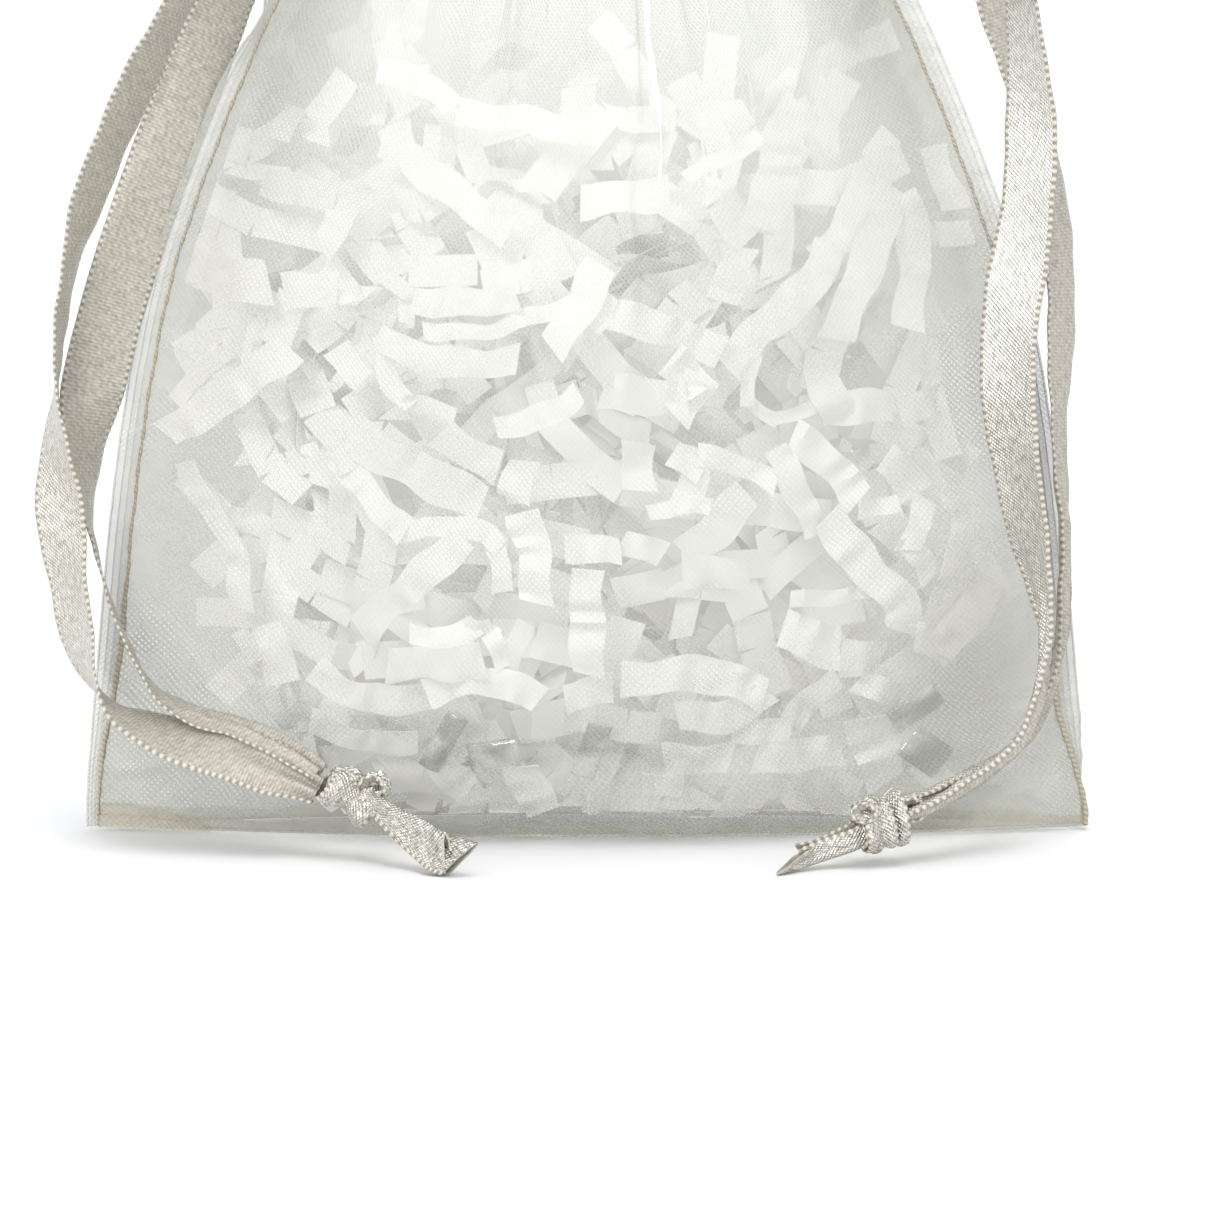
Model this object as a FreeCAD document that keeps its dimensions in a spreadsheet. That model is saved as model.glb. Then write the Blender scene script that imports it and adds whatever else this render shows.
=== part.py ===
import FreeCAD, Part
import math
import os

import Sketcher
from FreeCAD import Vector

# Drawstring gift pouch: a sheer organza bag with sewn sides, a gathered drawstring casing, a ruffled
# header above it, two satin ribbons that leave the casing on opposite sides and end in knots, and a
# filling of crinkle-cut paper. Millimetres, +Z up. The origin is the middle of the base, on the
# surface that the pouch stands on. The front of the pouch faces -Y, and its width runs along X.

doc = FreeCAD.newDocument("GiftPouch")
sheet = doc.addObject("Spreadsheet::Sheet", "Dims")
cell_of = {}


def cell(alias, value, note=""):
    row = len(cell_of) + 1
    sheet.set("A%d" % row, alias)
    sheet.set("B%d" % row, repr(float(value)))
    sheet.set("C%d" % row, note)
    sheet.setAlias("B%d" % row, alias)
    cell_of[alias] = "B%d" % row
    return value


def dim(alias):
    return float(sheet.get(cell_of[alias]))


# Outline of the filled bag: height of each cross-section, half of its width at the outer edge of the
# side seams, and how far the cloth bulges at the middle.
STATIONS = [
    # name, height, half width, bulge
    ("base", 0.75, 50.0, 5.6),
    ("heel", 4.0, 49.8, 8.4),
    ("low", 9.0, 49.4, 11.4),
    ("belly_low", 17.0, 48.6, 14.6),
    ("belly", 30.0, 47.3, 17.4),
    ("middle", 43.0, 45.5, 18.0),
    ("chest", 55.0, 43.0, 17.2),
    ("shoulder_low", 67.5, 38.7, 15.2),
    ("shoulder", 76.0, 35.2, 13.5),
    ("shoulder_high", 84.0, 31.4, 11.6),
    ("throat_low", 92.0, 25.6, 9.4),
    ("throat", 98.0, 18.6, 7.6),
    ("neck", 103.0, 10.8, 6.2),
]
for name, z, w, b in STATIONS:
    cell(name + "_height", z)
    cell(name + "_half_width", w)
    cell(name + "_bulge", b)
cell("cloth", 0.5, "thickness that stands for the organza and its small folds")
cell("seam_width", 2.0, "seam allowance outside the stitching")
cell("seam_thickness", 0.9, "turned seam, several layers")
cell("thread", 0.5, "sewing thread line")
cell("seam_gap", 0.15)
cell("bottom_thickness", 0.6)
cell("half_gap", 0.15, "half of the slit between the front and the back sheet")

# Drawstring casing at the neck
cell("casing_half_length", 10.3)
cell("casing_low", 103.3)
cell("casing_high", 112.7)
cell("casing_outer", 6.3)
cell("casing_groove", 4.9)
cell("groove_height", 3.2)
cell("left_level", 106.0, "height of the left ribbon in the casing")
cell("right_level", 110.0, "height of the right ribbon in the casing")

# Ribbons
cell("band_thickness", 0.9, "bunched ribbon in the casing")
cell("band_height", 2.5)
cell("band_offset", 3.4, "each leg's distance from the middle of the neck")
cell("band_end", 11.3)
cell("band_turn", 8.35)
cell("cord_diameter", 1.6, "round section that stands for the flat ribbon")

# Header above the casing
HEADER = [
    ("header_foot", 114.2, 9.6, 2.4),
    ("header_low", 120.0, 13.4, 3.6),
    ("header_mid", 129.0, 19.0, 5.6),
    ("header_top", 138.4, 24.0, 7.4),
]
for name, z, w, b in HEADER:
    cell(name + "_height", z)
    cell(name + "_half_width", w)
    cell(name + "_bulge", b)
cell("hem_low", 138.5)
cell("hem_high", 141.0)
cell("hem_low_half_width", 24.1)
cell("hem_high_half_width", 25.2)
cell("hem_low_bulge", 7.7)
cell("hem_high_bulge", 8.2)
cell("hem_cloth", 0.8)

# Paper filling: clearance to the cloth
cell("fill_side", 7.0)
cell("fill_face", 2.2)

doc.recompute()

nodes = {}


def plane(body, role):
    for f in body.Origin.OriginFeatures:
        if f.Role == role:
            return f
    raise RuntimeError(role)


def new_body(label):
    body = doc.addObject("PartDesign::Body", label)
    body.Label = label
    nodes[label] = body
    return body


def new_sketch(body, name, role="XY_Plane"):
    sk = body.newObject("Sketcher::SketchObject", name)
    sk.AttachmentSupport = [(plane(body, role), "")]
    sk.MapMode = "FlatFace"
    return sk


def at_height(sk, formula, value):
    sk.AttachmentOffset = FreeCAD.Placement(Vector(0, 0, value), FreeCAD.Rotation())
    sk.setExpression("AttachmentOffset.Base.z", formula)


def arc_through(a, m, b):
    return Part.Arc(Vector(*a), Vector(*m), Vector(*b))


def bind(sk, index, name, formula):
    sk.renameConstraint(index, name)
    sk.setExpression("Constraints." + name, formula)


def crescent(body, name, z_formula, z, half, bulge, thick, gap, half_f, bulge_f, thick_f, gap_f, side):
    """A curved sheet's cross-section: an outer arc and an inner arc that run from side to side, closed by
    two short lines at the seams. side is -1 at the front and +1 at the back."""
    sk = new_sketch(body, name)
    at_height(sk, z_formula, z)
    s = side
    y_in, y_out = s * gap, s * (gap + thick)
    outer = arc_through((-half, y_out, 0), (0, s * bulge, 0), (half, y_out, 0))
    inner = arc_through((-half, y_in, 0), (0, s * (bulge - thick), 0), (half, y_in, 0))
    go = sk.addGeometry(outer, False)
    gi = sk.addGeometry(inner, False)
    ll = sk.addGeometry(Part.LineSegment(Vector(-half, y_out, 0), Vector(-half, y_in, 0)), False)
    lr = sk.addGeometry(Part.LineSegment(Vector(half, y_in, 0), Vector(half, y_out, 0)), False)

    def ends(g):
        a = sk.getPoint(g, 1)
        return (1, 2) if a.x < 0 else (2, 1)

    ol, orr = ends(go)
    il, ir = ends(gi)
    C = Sketcher.Constraint
    sk.addConstraint(C("Coincident", go, ol, ll, 1))
    sk.addConstraint(C("Coincident", gi, il, ll, 2))
    sk.addConstraint(C("Coincident", gi, ir, lr, 1))
    sk.addConstraint(C("Coincident", go, orr, lr, 2))
    sk.addConstraint(C("Vertical", ll))
    sk.addConstraint(C("Vertical", lr))
    sk.addConstraint(C("Symmetric", gi, il, gi, ir, -2))
    i = sk.addConstraint(C("DistanceX", gi, il, gi, ir, 2 * half))
    bind(sk, i, "Width", "2 * (%s)" % half_f)
    low, high = (-1, gi) if s > 0 else (gi, -1)
    pl, ph = (1, il) if s > 0 else (il, 1)
    i = sk.addConstraint(C("DistanceY", low, pl, high, ph, gap))
    bind(sk, i, "Slit", gap_f)
    i = sk.addConstraint(C("DistanceY", ll, 2 if s > 0 else 1, ll, 1 if s > 0 else 2, thick))
    bind(sk, i, "Sheet", thick_f)
    sag = "((%s) - (%s) - (%s))" % (bulge_f, gap_f, thick_f)
    sg = bulge - gap - thick
    radius = (half * half + sg * sg) / (2 * sg)
    i = sk.addConstraint(C("Radius", go, radius))
    bind(sk, i, "OuterRadius", "((%s)^2 + %s^2) / (2 * %s)" % (half_f, sag, sag))
    i = sk.addConstraint(C("Radius", gi, radius))
    bind(sk, i, "InnerRadius", "((%s)^2 + %s^2) / (2 * %s)" % (half_f, sag, sag))
    return sk


def lofted_sheet(label, stations, side, half_less="0", thick="Dims.cloth"):
    body = new_body(label)
    sketches = []
    less = eval_formula(half_less)
    for name in stations:
        z, w, b = dim(name + "_height"), dim(name + "_half_width"), dim(name + "_bulge")
        sketches.append(
            crescent(
                body, label + "_" + name, "Dims.%s_height" % name, z, w - less, b,
                eval_formula(thick), dim("half_gap"),
                "Dims.%s_half_width - (%s)" % (name, half_less), "Dims.%s_bulge" % name,
                thick, "Dims.half_gap", side,
            )
        )
    doc.recompute()
    loft = body.newObject("PartDesign::AdditiveLoft", label + "_loft")
    loft.Profile = sketches[0]
    loft.Sections = sketches[1:]
    loft.Ruled = False
    body.Tip = loft
    return body


def eval_formula(text):
    """Value of a plain sum of cells, such as 'Dims.seam_width + 0.6'."""
    total = 0.0
    for term in text.replace("-", "+-").split("+"):
        term = term.strip()
        if not term:
            continue
        sign = 1.0
        if term.startswith("-"):
            sign, term = -1.0, term[1:].strip()
        total += sign * (dim(term[5:]) if term.startswith("Dims.") else float(term))
    return total


ALL = [s[0] for s in STATIONS]
EDGE = "Dims.seam_width + Dims.thread + Dims.seam_gap + Dims.seam_gap"
lofted_sheet("front_panel", ALL, -1, EDGE)
lofted_sheet("back_panel", ALL, +1, EDGE)

# Turned-under bottom: the strip of cloth that joins the two sheets and lies on the surface.
body = new_body("bottom_fold")
sk = new_sketch(body, "bottom_outline")
w0, b0 = dim("base_half_width"), dim("base_bulge")
front = sk.addGeometry(arc_through((-w0, -0.4, 0), (0, -b0, 0), (w0, -0.4, 0)), False)
back = sk.addGeometry(arc_through((-w0, 0.4, 0), (0, b0, 0), (w0, 0.4, 0)), False)
left = sk.addGeometry(Part.LineSegment(Vector(-w0, -0.4, 0), Vector(-w0, 0.4, 0)), False)
right = sk.addGeometry(Part.LineSegment(Vector(w0, 0.4, 0), Vector(w0, -0.4, 0)), False)


def left_end(sk, g):
    return (1, 2) if sk.getPoint(g, 1).x < 0 else (2, 1)


C = Sketcher.Constraint
fl, fr = left_end(sk, front)
bl, br = left_end(sk, back)
sk.addConstraint(C("Coincident", front, fl, left, 1))
sk.addConstraint(C("Coincident", back, bl, left, 2))
sk.addConstraint(C("Coincident", back, br, right, 1))
sk.addConstraint(C("Coincident", front, fr, right, 2))
sk.addConstraint(C("Symmetric", back, bl, back, br, -2))
sk.addConstraint(C("Symmetric", front, fl, back, bl, -1))
sk.addConstraint(C("Symmetric", front, fr, back, br, -1))
i = sk.addConstraint(C("DistanceX", back, bl, back, br, 2 * w0))
bind(sk, i, "Width", "2 * Dims.base_half_width")
i = sk.addConstraint(C("DistanceY", left, 1, left, 2, 0.8))
bind(sk, i, "EndThickness", "Dims.seam_thickness - 0.1")
sg = b0 - 0.4
for g, n in ((front, "FrontRadius"), (back, "BackRadius")):
    i = sk.addConstraint(C("Radius", g, (w0 * w0 + sg * sg) / (2 * sg)))
    bind(sk, i, n, "(Dims.base_half_width^2 + (Dims.base_bulge - 0.4)^2) / (2 * (Dims.base_bulge - 0.4))")
doc.recompute()
pad = body.newObject("PartDesign::Pad", "bottom_pad")
pad.Profile = sk
pad.Length = dim("bottom_thickness")
pad.setExpression("Length", "Dims.bottom_thickness")
body.Tip = pad


def edge_strip(label, side, outer_less, inner_less, thickness):
    """A strip that follows the outline of the bag between two distances inside its edge, in the plane of
    the side seams. side is -1 for the left and +1 for the right."""
    body = new_body(label)
    sk = new_sketch(body, label + "_outline", "XZ_Plane")

    def curve(less):
        pts = []
        for name in ALL:
            pts.append(Vector(side * (dim(name + "_half_width") - less), dim(name + "_height"), 0))
        c = Part.BSplineCurve()
        c.interpolate(pts)
        return c

    outer, inner = curve(outer_less), curve(inner_less)
    a, b = outer.StartPoint, outer.EndPoint
    d, c = inner.StartPoint, inner.EndPoint
    g = [sk.addGeometry(x, False) for x in (outer, Part.LineSegment(b, c), inner, Part.LineSegment(d, a))]
    sk.addConstraint(C("Block", g[0]))
    sk.addConstraint(C("Block", g[2]))
    sk.addConstraint(C("Coincident", g[1], 1, g[0], 2))
    sk.addConstraint(C("Coincident", g[1], 2, g[2], 2))
    sk.addConstraint(C("Coincident", g[3], 1, g[2], 1))
    sk.addConstraint(C("Coincident", g[3], 2, g[0], 1))
    doc.recompute()
    pad = body.newObject("PartDesign::Pad", label + "_pad")
    pad.Profile = sk
    pad.Midplane = True
    pad.Length = eval_formula(thickness)
    pad.setExpression("Length", thickness)
    body.Tip = pad
    return body


sw, th, gp = dim("seam_width"), dim("thread"), dim("seam_gap")
for side, name in ((-1, "left"), (1, "right")):
    edge_strip(name + "_side_seam", side, 0.0, sw, "Dims.seam_thickness")
    edge_strip(name + "_seam_thread", side, sw + gp, sw + gp + th, "Dims.thread")

# Casing: two channels of doubled cloth, one on the front sheet and one on the back, gathered to the
# width of the closed neck. Each is open towards the middle, where the ribbons cross over.
for side, name in ((-1, "casing_front"), (1, "casing_back")):
    body = new_body(name)
    sk = new_sketch(body, name + "_profile", "YZ_Plane")
    zl, zh = dim("casing_low"), dim("casing_high")
    yo, yg, gh = dim("casing_outer"), dim("casing_groove"), dim("groove_height")
    l1, l2 = dim("left_level"), dim("right_level")
    y0 = 0.1
    pts = [
        (y0, zl), (y0, l1 - gh / 2), (yg, l1 - gh / 2), (yg, l1 + gh / 2), (y0, l1 + gh / 2),
        (y0, l2 - gh / 2), (yg, l2 - gh / 2), (yg, l2 + gh / 2), (y0, l2 + gh / 2), (y0, zh),
        (yo - 1.0, zh), (yo, zh - 1.2), (yo, zl + 1.2), (yo - 1.0, zl),
    ]
    pts = [(side * y, z) for y, z in pts]
    ids = []
    for k, p in enumerate(pts):
        q = pts[(k + 1) % len(pts)]
        ids.append(sk.addGeometry(Part.LineSegment(Vector(p[0], p[1], 0), Vector(q[0], q[1], 0)), False))
    for k in range(len(ids)):
        sk.addConstraint(C("Coincident", ids[k], 2, ids[(k + 1) % len(ids)], 1))
    for k, p in enumerate(pts):
        q = pts[(k + 1) % len(pts)]
        if abs(p[0] - q[0]) < 1e-9:
            sk.addConstraint(C("Vertical", ids[k]))
        elif abs(p[1] - q[1]) < 1e-9:
            sk.addConstraint(C("Horizontal", ids[k]))

    def height(index, value, cname, formula):
        i = sk.addConstraint(C("DistanceY", -1, 1, ids[index], 1, value))
        bind(sk, i, cname, formula)

    def depth(index, value, cname, formula):
        if side > 0:
            i = sk.addConstraint(C("DistanceX", -1, 1, ids[index], 1, value))
        else:
            i = sk.addConstraint(C("DistanceX", ids[index], 1, -1, 1, value))
        bind(sk, i, cname, formula)

    height(0, zl, "Low", "Dims.casing_low")
    height(2, l1 - gh / 2, "LeftGrooveLow", "Dims.left_level - Dims.groove_height / 2")
    height(3, l1 + gh / 2, "LeftGrooveHigh", "Dims.left_level + Dims.groove_height / 2")
    height(6, l2 - gh / 2, "RightGrooveLow", "Dims.right_level - Dims.groove_height / 2")
    height(7, l2 + gh / 2, "RightGrooveHigh", "Dims.right_level + Dims.groove_height / 2")
    height(9, zh, "High", "Dims.casing_high")
    height(11, zh - 1.2, "ShoulderHigh", "Dims.casing_high - 1.2")
    height(12, zl + 1.2, "ShoulderLow", "Dims.casing_low + 1.2")
    depth(0, y0, "InnerFace", "0.1")
    depth(2, yg, "LeftGrooveDepth", "Dims.casing_groove")
    depth(6, yg, "RightGrooveDepth", "Dims.casing_groove")
    depth(11, yo, "OuterFace", "Dims.casing_outer")
    depth(10, yo - 1.0, "TopEdge", "Dims.casing_outer - 1")
    depth(13, yo - 1.0, "BottomEdge", "Dims.casing_outer - 1")
    depth(5, y0, "RibFace", "0.1")
    depth(9, y0, "TopFace", "0.1")
    doc.recompute()
    pad = body.newObject("PartDesign::Pad", name + "_pad")
    pad.Profile = sk
    pad.Midplane = True
    pad.Length = 2 * dim("casing_half_length")
    pad.setExpression("Length", "2 * Dims.casing_half_length")
    body.Tip = pad

# Two rows of stitching close each channel at its top and its bottom.
for side, name in ((-1, "casing_stitching_front"), (1, "casing_stitching_back")):
    rows = []
    for k, f in enumerate(("Dims.casing_low + 1.6", "Dims.casing_high - 2")):
        b = doc.addObject("Part::Box", name + "_row%d" % (k + 1))
        b.setExpression("Length", "2 * Dims.casing_half_length - 1.2")
        b.setExpression("Width", "Dims.thread - 0.1")
        b.setExpression("Height", "Dims.thread - 0.1")
        b.setExpression("Placement.Base.x", "-Dims.casing_half_length + 0.6")
        b.setExpression("Placement.Base.z", f)
        if side > 0:
            b.setExpression("Placement.Base.y", "Dims.casing_outer + 0.05")
        else:
            b.setExpression("Placement.Base.y", "-Dims.casing_outer - 0.05 - Dims.thread + 0.1")
        rows.append(b)
    group = doc.addObject("Part::Compound", name)
    group.Links = rows
    group.Label = name
    nodes[name] = group

# Header: the ruffle above the casing, two gathered sheets that fan out, each with a folded hem.
HEAD = [h[0] for h in HEADER]
lofted_sheet("header_front", HEAD, -1)
lofted_sheet("header_back", HEAD, +1)
for side, name in ((-1, "header_hem_front"), (1, "header_hem_back")):
    body = new_body(name)
    sks = []
    for level in ("low", "high"):
        sks.append(
            crescent(
                body, name + "_" + level, "Dims.hem_%s" % level, dim("hem_" + level),
                dim("hem_%s_half_width" % level), dim("hem_%s_bulge" % level), dim("hem_cloth"),
                dim("half_gap"), "Dims.hem_%s_half_width" % level, "Dims.hem_%s_bulge" % level,
                "Dims.hem_cloth", "Dims.half_gap", side,
            )
        )
    doc.recompute()
    loft = body.newObject("PartDesign::AdditiveLoft", name + "_loft")
    loft.Profile = sks[0]
    loft.Sections = sks[1:]
    body.Tip = loft


# Paper filling: three layers of crinkle-cut paper, packed loosely, each a closed lens-shaped solid.
def lens_sketch(body, name, z_formula, z, half, bulge, half_f, bulge_f):
    sk = new_sketch(body, name)
    at_height(sk, z_formula, z)
    end = 0.5
    fr_ = sk.addGeometry(arc_through((-half, -end, 0), (0, -bulge, 0), (half, -end, 0)), False)
    ba_ = sk.addGeometry(arc_through((-half, end, 0), (0, bulge, 0), (half, end, 0)), False)
    le_ = sk.addGeometry(Part.LineSegment(Vector(-half, -end, 0), Vector(-half, end, 0)), False)
    ri_ = sk.addGeometry(Part.LineSegment(Vector(half, end, 0), Vector(half, -end, 0)), False)
    fl, fr = left_end(sk, fr_)
    bl, br = left_end(sk, ba_)
    sk.addConstraint(C("Coincident", fr_, fl, le_, 1))
    sk.addConstraint(C("Coincident", ba_, bl, le_, 2))
    sk.addConstraint(C("Coincident", ba_, br, ri_, 1))
    sk.addConstraint(C("Coincident", fr_, fr, ri_, 2))
    sk.addConstraint(C("Symmetric", ba_, bl, ba_, br, -2))
    sk.addConstraint(C("Symmetric", fr_, fl, ba_, bl, -1))
    sk.addConstraint(C("Symmetric", fr_, fr, ba_, br, -1))
    i = sk.addConstraint(C("DistanceX", ba_, bl, ba_, br, 2 * half))
    bind(sk, i, "Width", "2 * (%s)" % half_f)
    i = sk.addConstraint(C("DistanceY", le_, 1, le_, 2, 2 * end))
    sk.renameConstraint(i, "EndThickness")
    sag = bulge - end
    r = (half * half + sag * sag) / (2 * sag)
    for g, n in ((fr_, "FrontRadius"), (ba_, "BackRadius")):
        i = sk.addConstraint(C("Radius", g, r))
        bind(sk, i, n, "((%s)^2 + ((%s) - 0.5)^2) / (2 * ((%s) - 0.5))" % (half_f, bulge_f, bulge_f))
    return sk


def outline_at(z):
    for k in range(len(STATIONS) - 1):
        n0, n1 = ALL[k], ALL[k + 1]
        z0, z1 = dim(n0 + "_height"), dim(n1 + "_height")
        if z0 <= z <= z1:
            f = (z - z0) / (z1 - z0)
            return (
                dim(n0 + "_half_width") * (1 - f) + dim(n1 + "_half_width") * f,
                dim(n0 + "_bulge") * (1 - f) + dim(n1 + "_bulge") * f,
            )
    raise RuntimeError("height outside the bag")


LAYERS = [
    ("paper_fill_lower", (3.0, 9.0, 17.0, 32.0)),
    ("paper_fill_middle", (32.4, 43.0, 55.0, 63.0)),
    ("paper_fill_upper", (63.4, 72.0, 82.0, 93.0)),
]
for label, heights in LAYERS:
    for k, z in enumerate(heights):
        w, b = outline_at(z)
        cell("%s_height_%s" % (label, "abcd"[k]), z)
        cell("%s_half_%s" % (label, "abcd"[k]), w)
        cell("%s_deep_%s" % (label, "abcd"[k]), b)
doc.recompute()
for label, heights in LAYERS:
    body = new_body(label)
    sks = []
    for k, z in enumerate(heights):
        t = "abcd"[k]
        half_f = "Dims.%s_half_%s - Dims.fill_side" % (label, t)
        deep_f = "Dims.%s_deep_%s - Dims.fill_face" % (label, t)
        sks.append(
            lens_sketch(
                body, "%s_%s" % (label, t), "Dims.%s_height_%s" % (label, t), z,
                dim("%s_half_%s" % (label, t)) - dim("fill_side"),
                dim("%s_deep_%s" % (label, t)) - dim("fill_face"), half_f, deep_f,
            )
        )
    doc.recompute()
    loft = body.newObject("PartDesign::AdditiveLoft", label + "_loft")
    loft.Profile = sks[0]
    loft.Sections = sks[1:]
    body.Tip = loft

# Clear film strips among the paper: thin separate pieces that lie against the cloth.
FILM = [
    # x, z, length, tilt in the sheet's own plane
    (-13.0, 9.5, 7.0, 35.0),
    (-5.0, 12.0, 6.0, -20.0),
    (2.5, 10.0, 6.0, 60.0),
    (28.5, 13.5, 6.5, -40.0),
    (32.0, 9.5, 5.0, 20.0),
]
cell("film_thickness", 0.15)
cell("film_width", 3.0)
doc.recompute()
films = []
for k, (x, z, length, tilt) in enumerate(FILM):
    b = doc.addObject("Part::Box", "film_strip_%d" % (k + 1))
    b.Length = length
    b.setExpression("Width", "Dims.film_thickness")
    b.setExpression("Height", "Dims.film_width")
    w, d = outline_at(z)
    w2, d2 = outline_at(z + 2.0)
    half = w - eval_formula(EDGE)
    y = (d - dim("cloth")) * (1 - (x / half) ** 2) - 1.05
    slope_x = 2 * (d - dim("cloth")) * x / half**2
    slope_z = (d2 - d) / 2.0 * (1 - (x / half) ** 2)
    r = FreeCAD.Rotation(Vector(0, 0, 1), math.degrees(math.atan(slope_x)))
    r = r.multiply(FreeCAD.Rotation(Vector(1, 0, 0), math.degrees(math.atan(slope_z))))
    r = r.multiply(FreeCAD.Rotation(Vector(0, 1, 0), tilt))
    c = r.multVec(Vector(length / 2, dim("film_thickness") / 2, dim("film_width") / 2))
    b.Placement = FreeCAD.Placement(Vector(x, -y, z) - c, r)
    films.append(b)
group = doc.addObject("Part::Compound", "film_strips")
group.Links = films
group.Label = "film_strips"
nodes["film_strips"] = group

# Ribbon inside the casing: each ribbon runs along the front channel, turns at the far end and comes
# back along the back channel, so both of its ends leave on the same side.
for side, name, level in ((-1, "left_ribbon_loop", "left_level"), (1, "right_ribbon_loop", "right_level")):
    body = new_body(name)
    sk = new_sketch(body, name + "_outline")
    at_height(sk, "Dims." + level, dim(level))
    yo = dim("band_offset") + dim("band_thickness") / 2
    yi = dim("band_offset") - dim("band_thickness") / 2
    xe, xt = side * dim("band_end"), -side * dim("band_turn")
    cx = xt + side * yo
    g_of = sk.addGeometry(Part.LineSegment(Vector(xe, -yo, 0), Vector(cx, -yo, 0)), False)
    g_oa = sk.addGeometry(arc_through((cx, -yo, 0), (xt, 0, 0), (cx, yo, 0)), False)
    g_ob = sk.addGeometry(Part.LineSegment(Vector(cx, yo, 0), Vector(xe, yo, 0)), False)
    g_eb = sk.addGeometry(Part.LineSegment(Vector(xe, yo, 0), Vector(xe, yi, 0)), False)
    g_ib = sk.addGeometry(Part.LineSegment(Vector(xe, yi, 0), Vector(cx, yi, 0)), False)
    g_ia = sk.addGeometry(arc_through((cx, yi, 0), (cx - side * yi, 0, 0), (cx, -yi, 0)), False)
    g_if = sk.addGeometry(Part.LineSegment(Vector(cx, -yi, 0), Vector(xe, -yi, 0)), False)
    g_ef = sk.addGeometry(Part.LineSegment(Vector(xe, -yi, 0), Vector(xe, -yo, 0)), False)

    def near(g, y):
        return 1 if sk.getPoint(g, 1).y * y > 0 else 2

    sk.addConstraint(C("Coincident", g_of, 2, g_oa, near(g_oa, -1)))
    sk.addConstraint(C("Coincident", g_ob, 1, g_oa, near(g_oa, 1)))
    sk.addConstraint(C("Coincident", g_ob, 2, g_eb, 1))
    sk.addConstraint(C("Coincident", g_eb, 2, g_ib, 1))
    sk.addConstraint(C("Coincident", g_ib, 2, g_ia, near(g_ia, 1)))
    sk.addConstraint(C("Coincident", g_if, 1, g_ia, near(g_ia, -1)))
    sk.addConstraint(C("Coincident", g_if, 2, g_ef, 1))
    sk.addConstraint(C("Coincident", g_ef, 2, g_of, 1))
    for g in (g_of, g_ob, g_ib, g_if):
        sk.addConstraint(C("Horizontal", g))
    sk.addConstraint(C("Vertical", g_eb))
    sk.addConstraint(C("Vertical", g_ef))
    sk.addConstraint(C("PointOnObject", g_oa, 3, -1))
    sk.addConstraint(C("Coincident", g_ia, 3, g_oa, 3))
    i = sk.addConstraint(C("Radius", g_oa, yo))
    bind(sk, i, "OuterTurn", "Dims.band_offset + Dims.band_thickness / 2")
    i = sk.addConstraint(C("Radius", g_ia, yi))
    bind(sk, i, "InnerTurn", "Dims.band_offset - Dims.band_thickness / 2")
    if side < 0:
        i = sk.addConstraint(C("DistanceX", g_eb, 1, -1, 1, dim("band_end")))
    else:
        i = sk.addConstraint(C("DistanceX", -1, 1, g_eb, 1, dim("band_end")))
    bind(sk, i, "End", "Dims.band_end")
    if side < 0:
        i = sk.addConstraint(C("DistanceX", -1, 1, g_oa, 3, abs(cx)))
    else:
        i = sk.addConstraint(C("DistanceX", g_oa, 3, -1, 1, abs(cx)))
    bind(sk, i, "TurnCentre", "Dims.band_turn - Dims.band_offset - Dims.band_thickness / 2")
    doc.recompute()
    pad = body.newObject("PartDesign::Pad", name + "_pad")
    pad.Profile = sk
    pad.Midplane = True
    pad.Length = dim("band_height")
    pad.setExpression("Length", "Dims.band_height")
    body.Tip = pad


# Free ribbon strands. Each route is a list of points; the tube follows straight runs joined by tangent
# arcs, each as large as its two runs allow.
ROUTES = {
    "left_strand_front": [
        (-13.1, -3.4, 106.0), (-19.5, -3.6, 107.0), (-28.5, -4.0, 102.5), (-37.0, -4.4, 89.5),
        (-44.6, -4.8, 74.6), (-50.2, -5.4, 59.0), (-52.7, -6.5, 42.5), (-51.2, -7.8, 27.0),
        (-47.9, -9.6, 15.6), (-41.0, -11.6, 11.2), (-33.0, -13.6, 8.6), (-26.2, -14.9, 6.2),
    ],
    "left_strand_back": [
        (-13.1, 3.4, 106.0), (-18.6, 3.3, 106.9), (-27.0, 2.6, 101.0), (-34.0, 1.2, 86.5),
        (-41.3, 0.2, 69.5), (-47.2, -1.2, 52.5), (-50.3, -3.0, 37.0), (-48.0, -5.0, 26.5),
        (-44.4, -7.4, 16.6), (-38.8, -10.4, 13.0), (-32.0, -13.0, 11.6), (-26.0, -15.0, 8.6),
    ],
    "right_strand_front": [
        (13.1, -3.4, 110.0), (20.5, -3.7, 112.0), (32.0, -4.2, 108.0), (40.2, -4.8, 95.0),
        (42.6, -5.3, 80.0), (43.5, -6.0, 65.0), (40.6, -7.0, 48.5), (42.6, -7.4, 34.0),
        (45.4, -8.8, 21.5), (44.7, -11.4, 12.0), (39.9, -14.6, 6.2), (33.0, -17.4, 3.3),
    ],
    "right_strand_back": [
        (13.1, 3.4, 110.0), (19.5, 3.3, 111.4), (29.5, 2.8, 108.0), (37.0, 2.0, 96.0),
        (39.7, 1.4, 82.0), (46.0, 0.4, 68.5), (48.2, -0.8, 54.5), (47.6, -2.6, 39.0),
        (48.2, -3.4, 25.5), (46.6, -6.2, 15.9), (41.4, -10.4, 10.2), (32.3, -15.9, 5.8),
    ],
}


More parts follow.
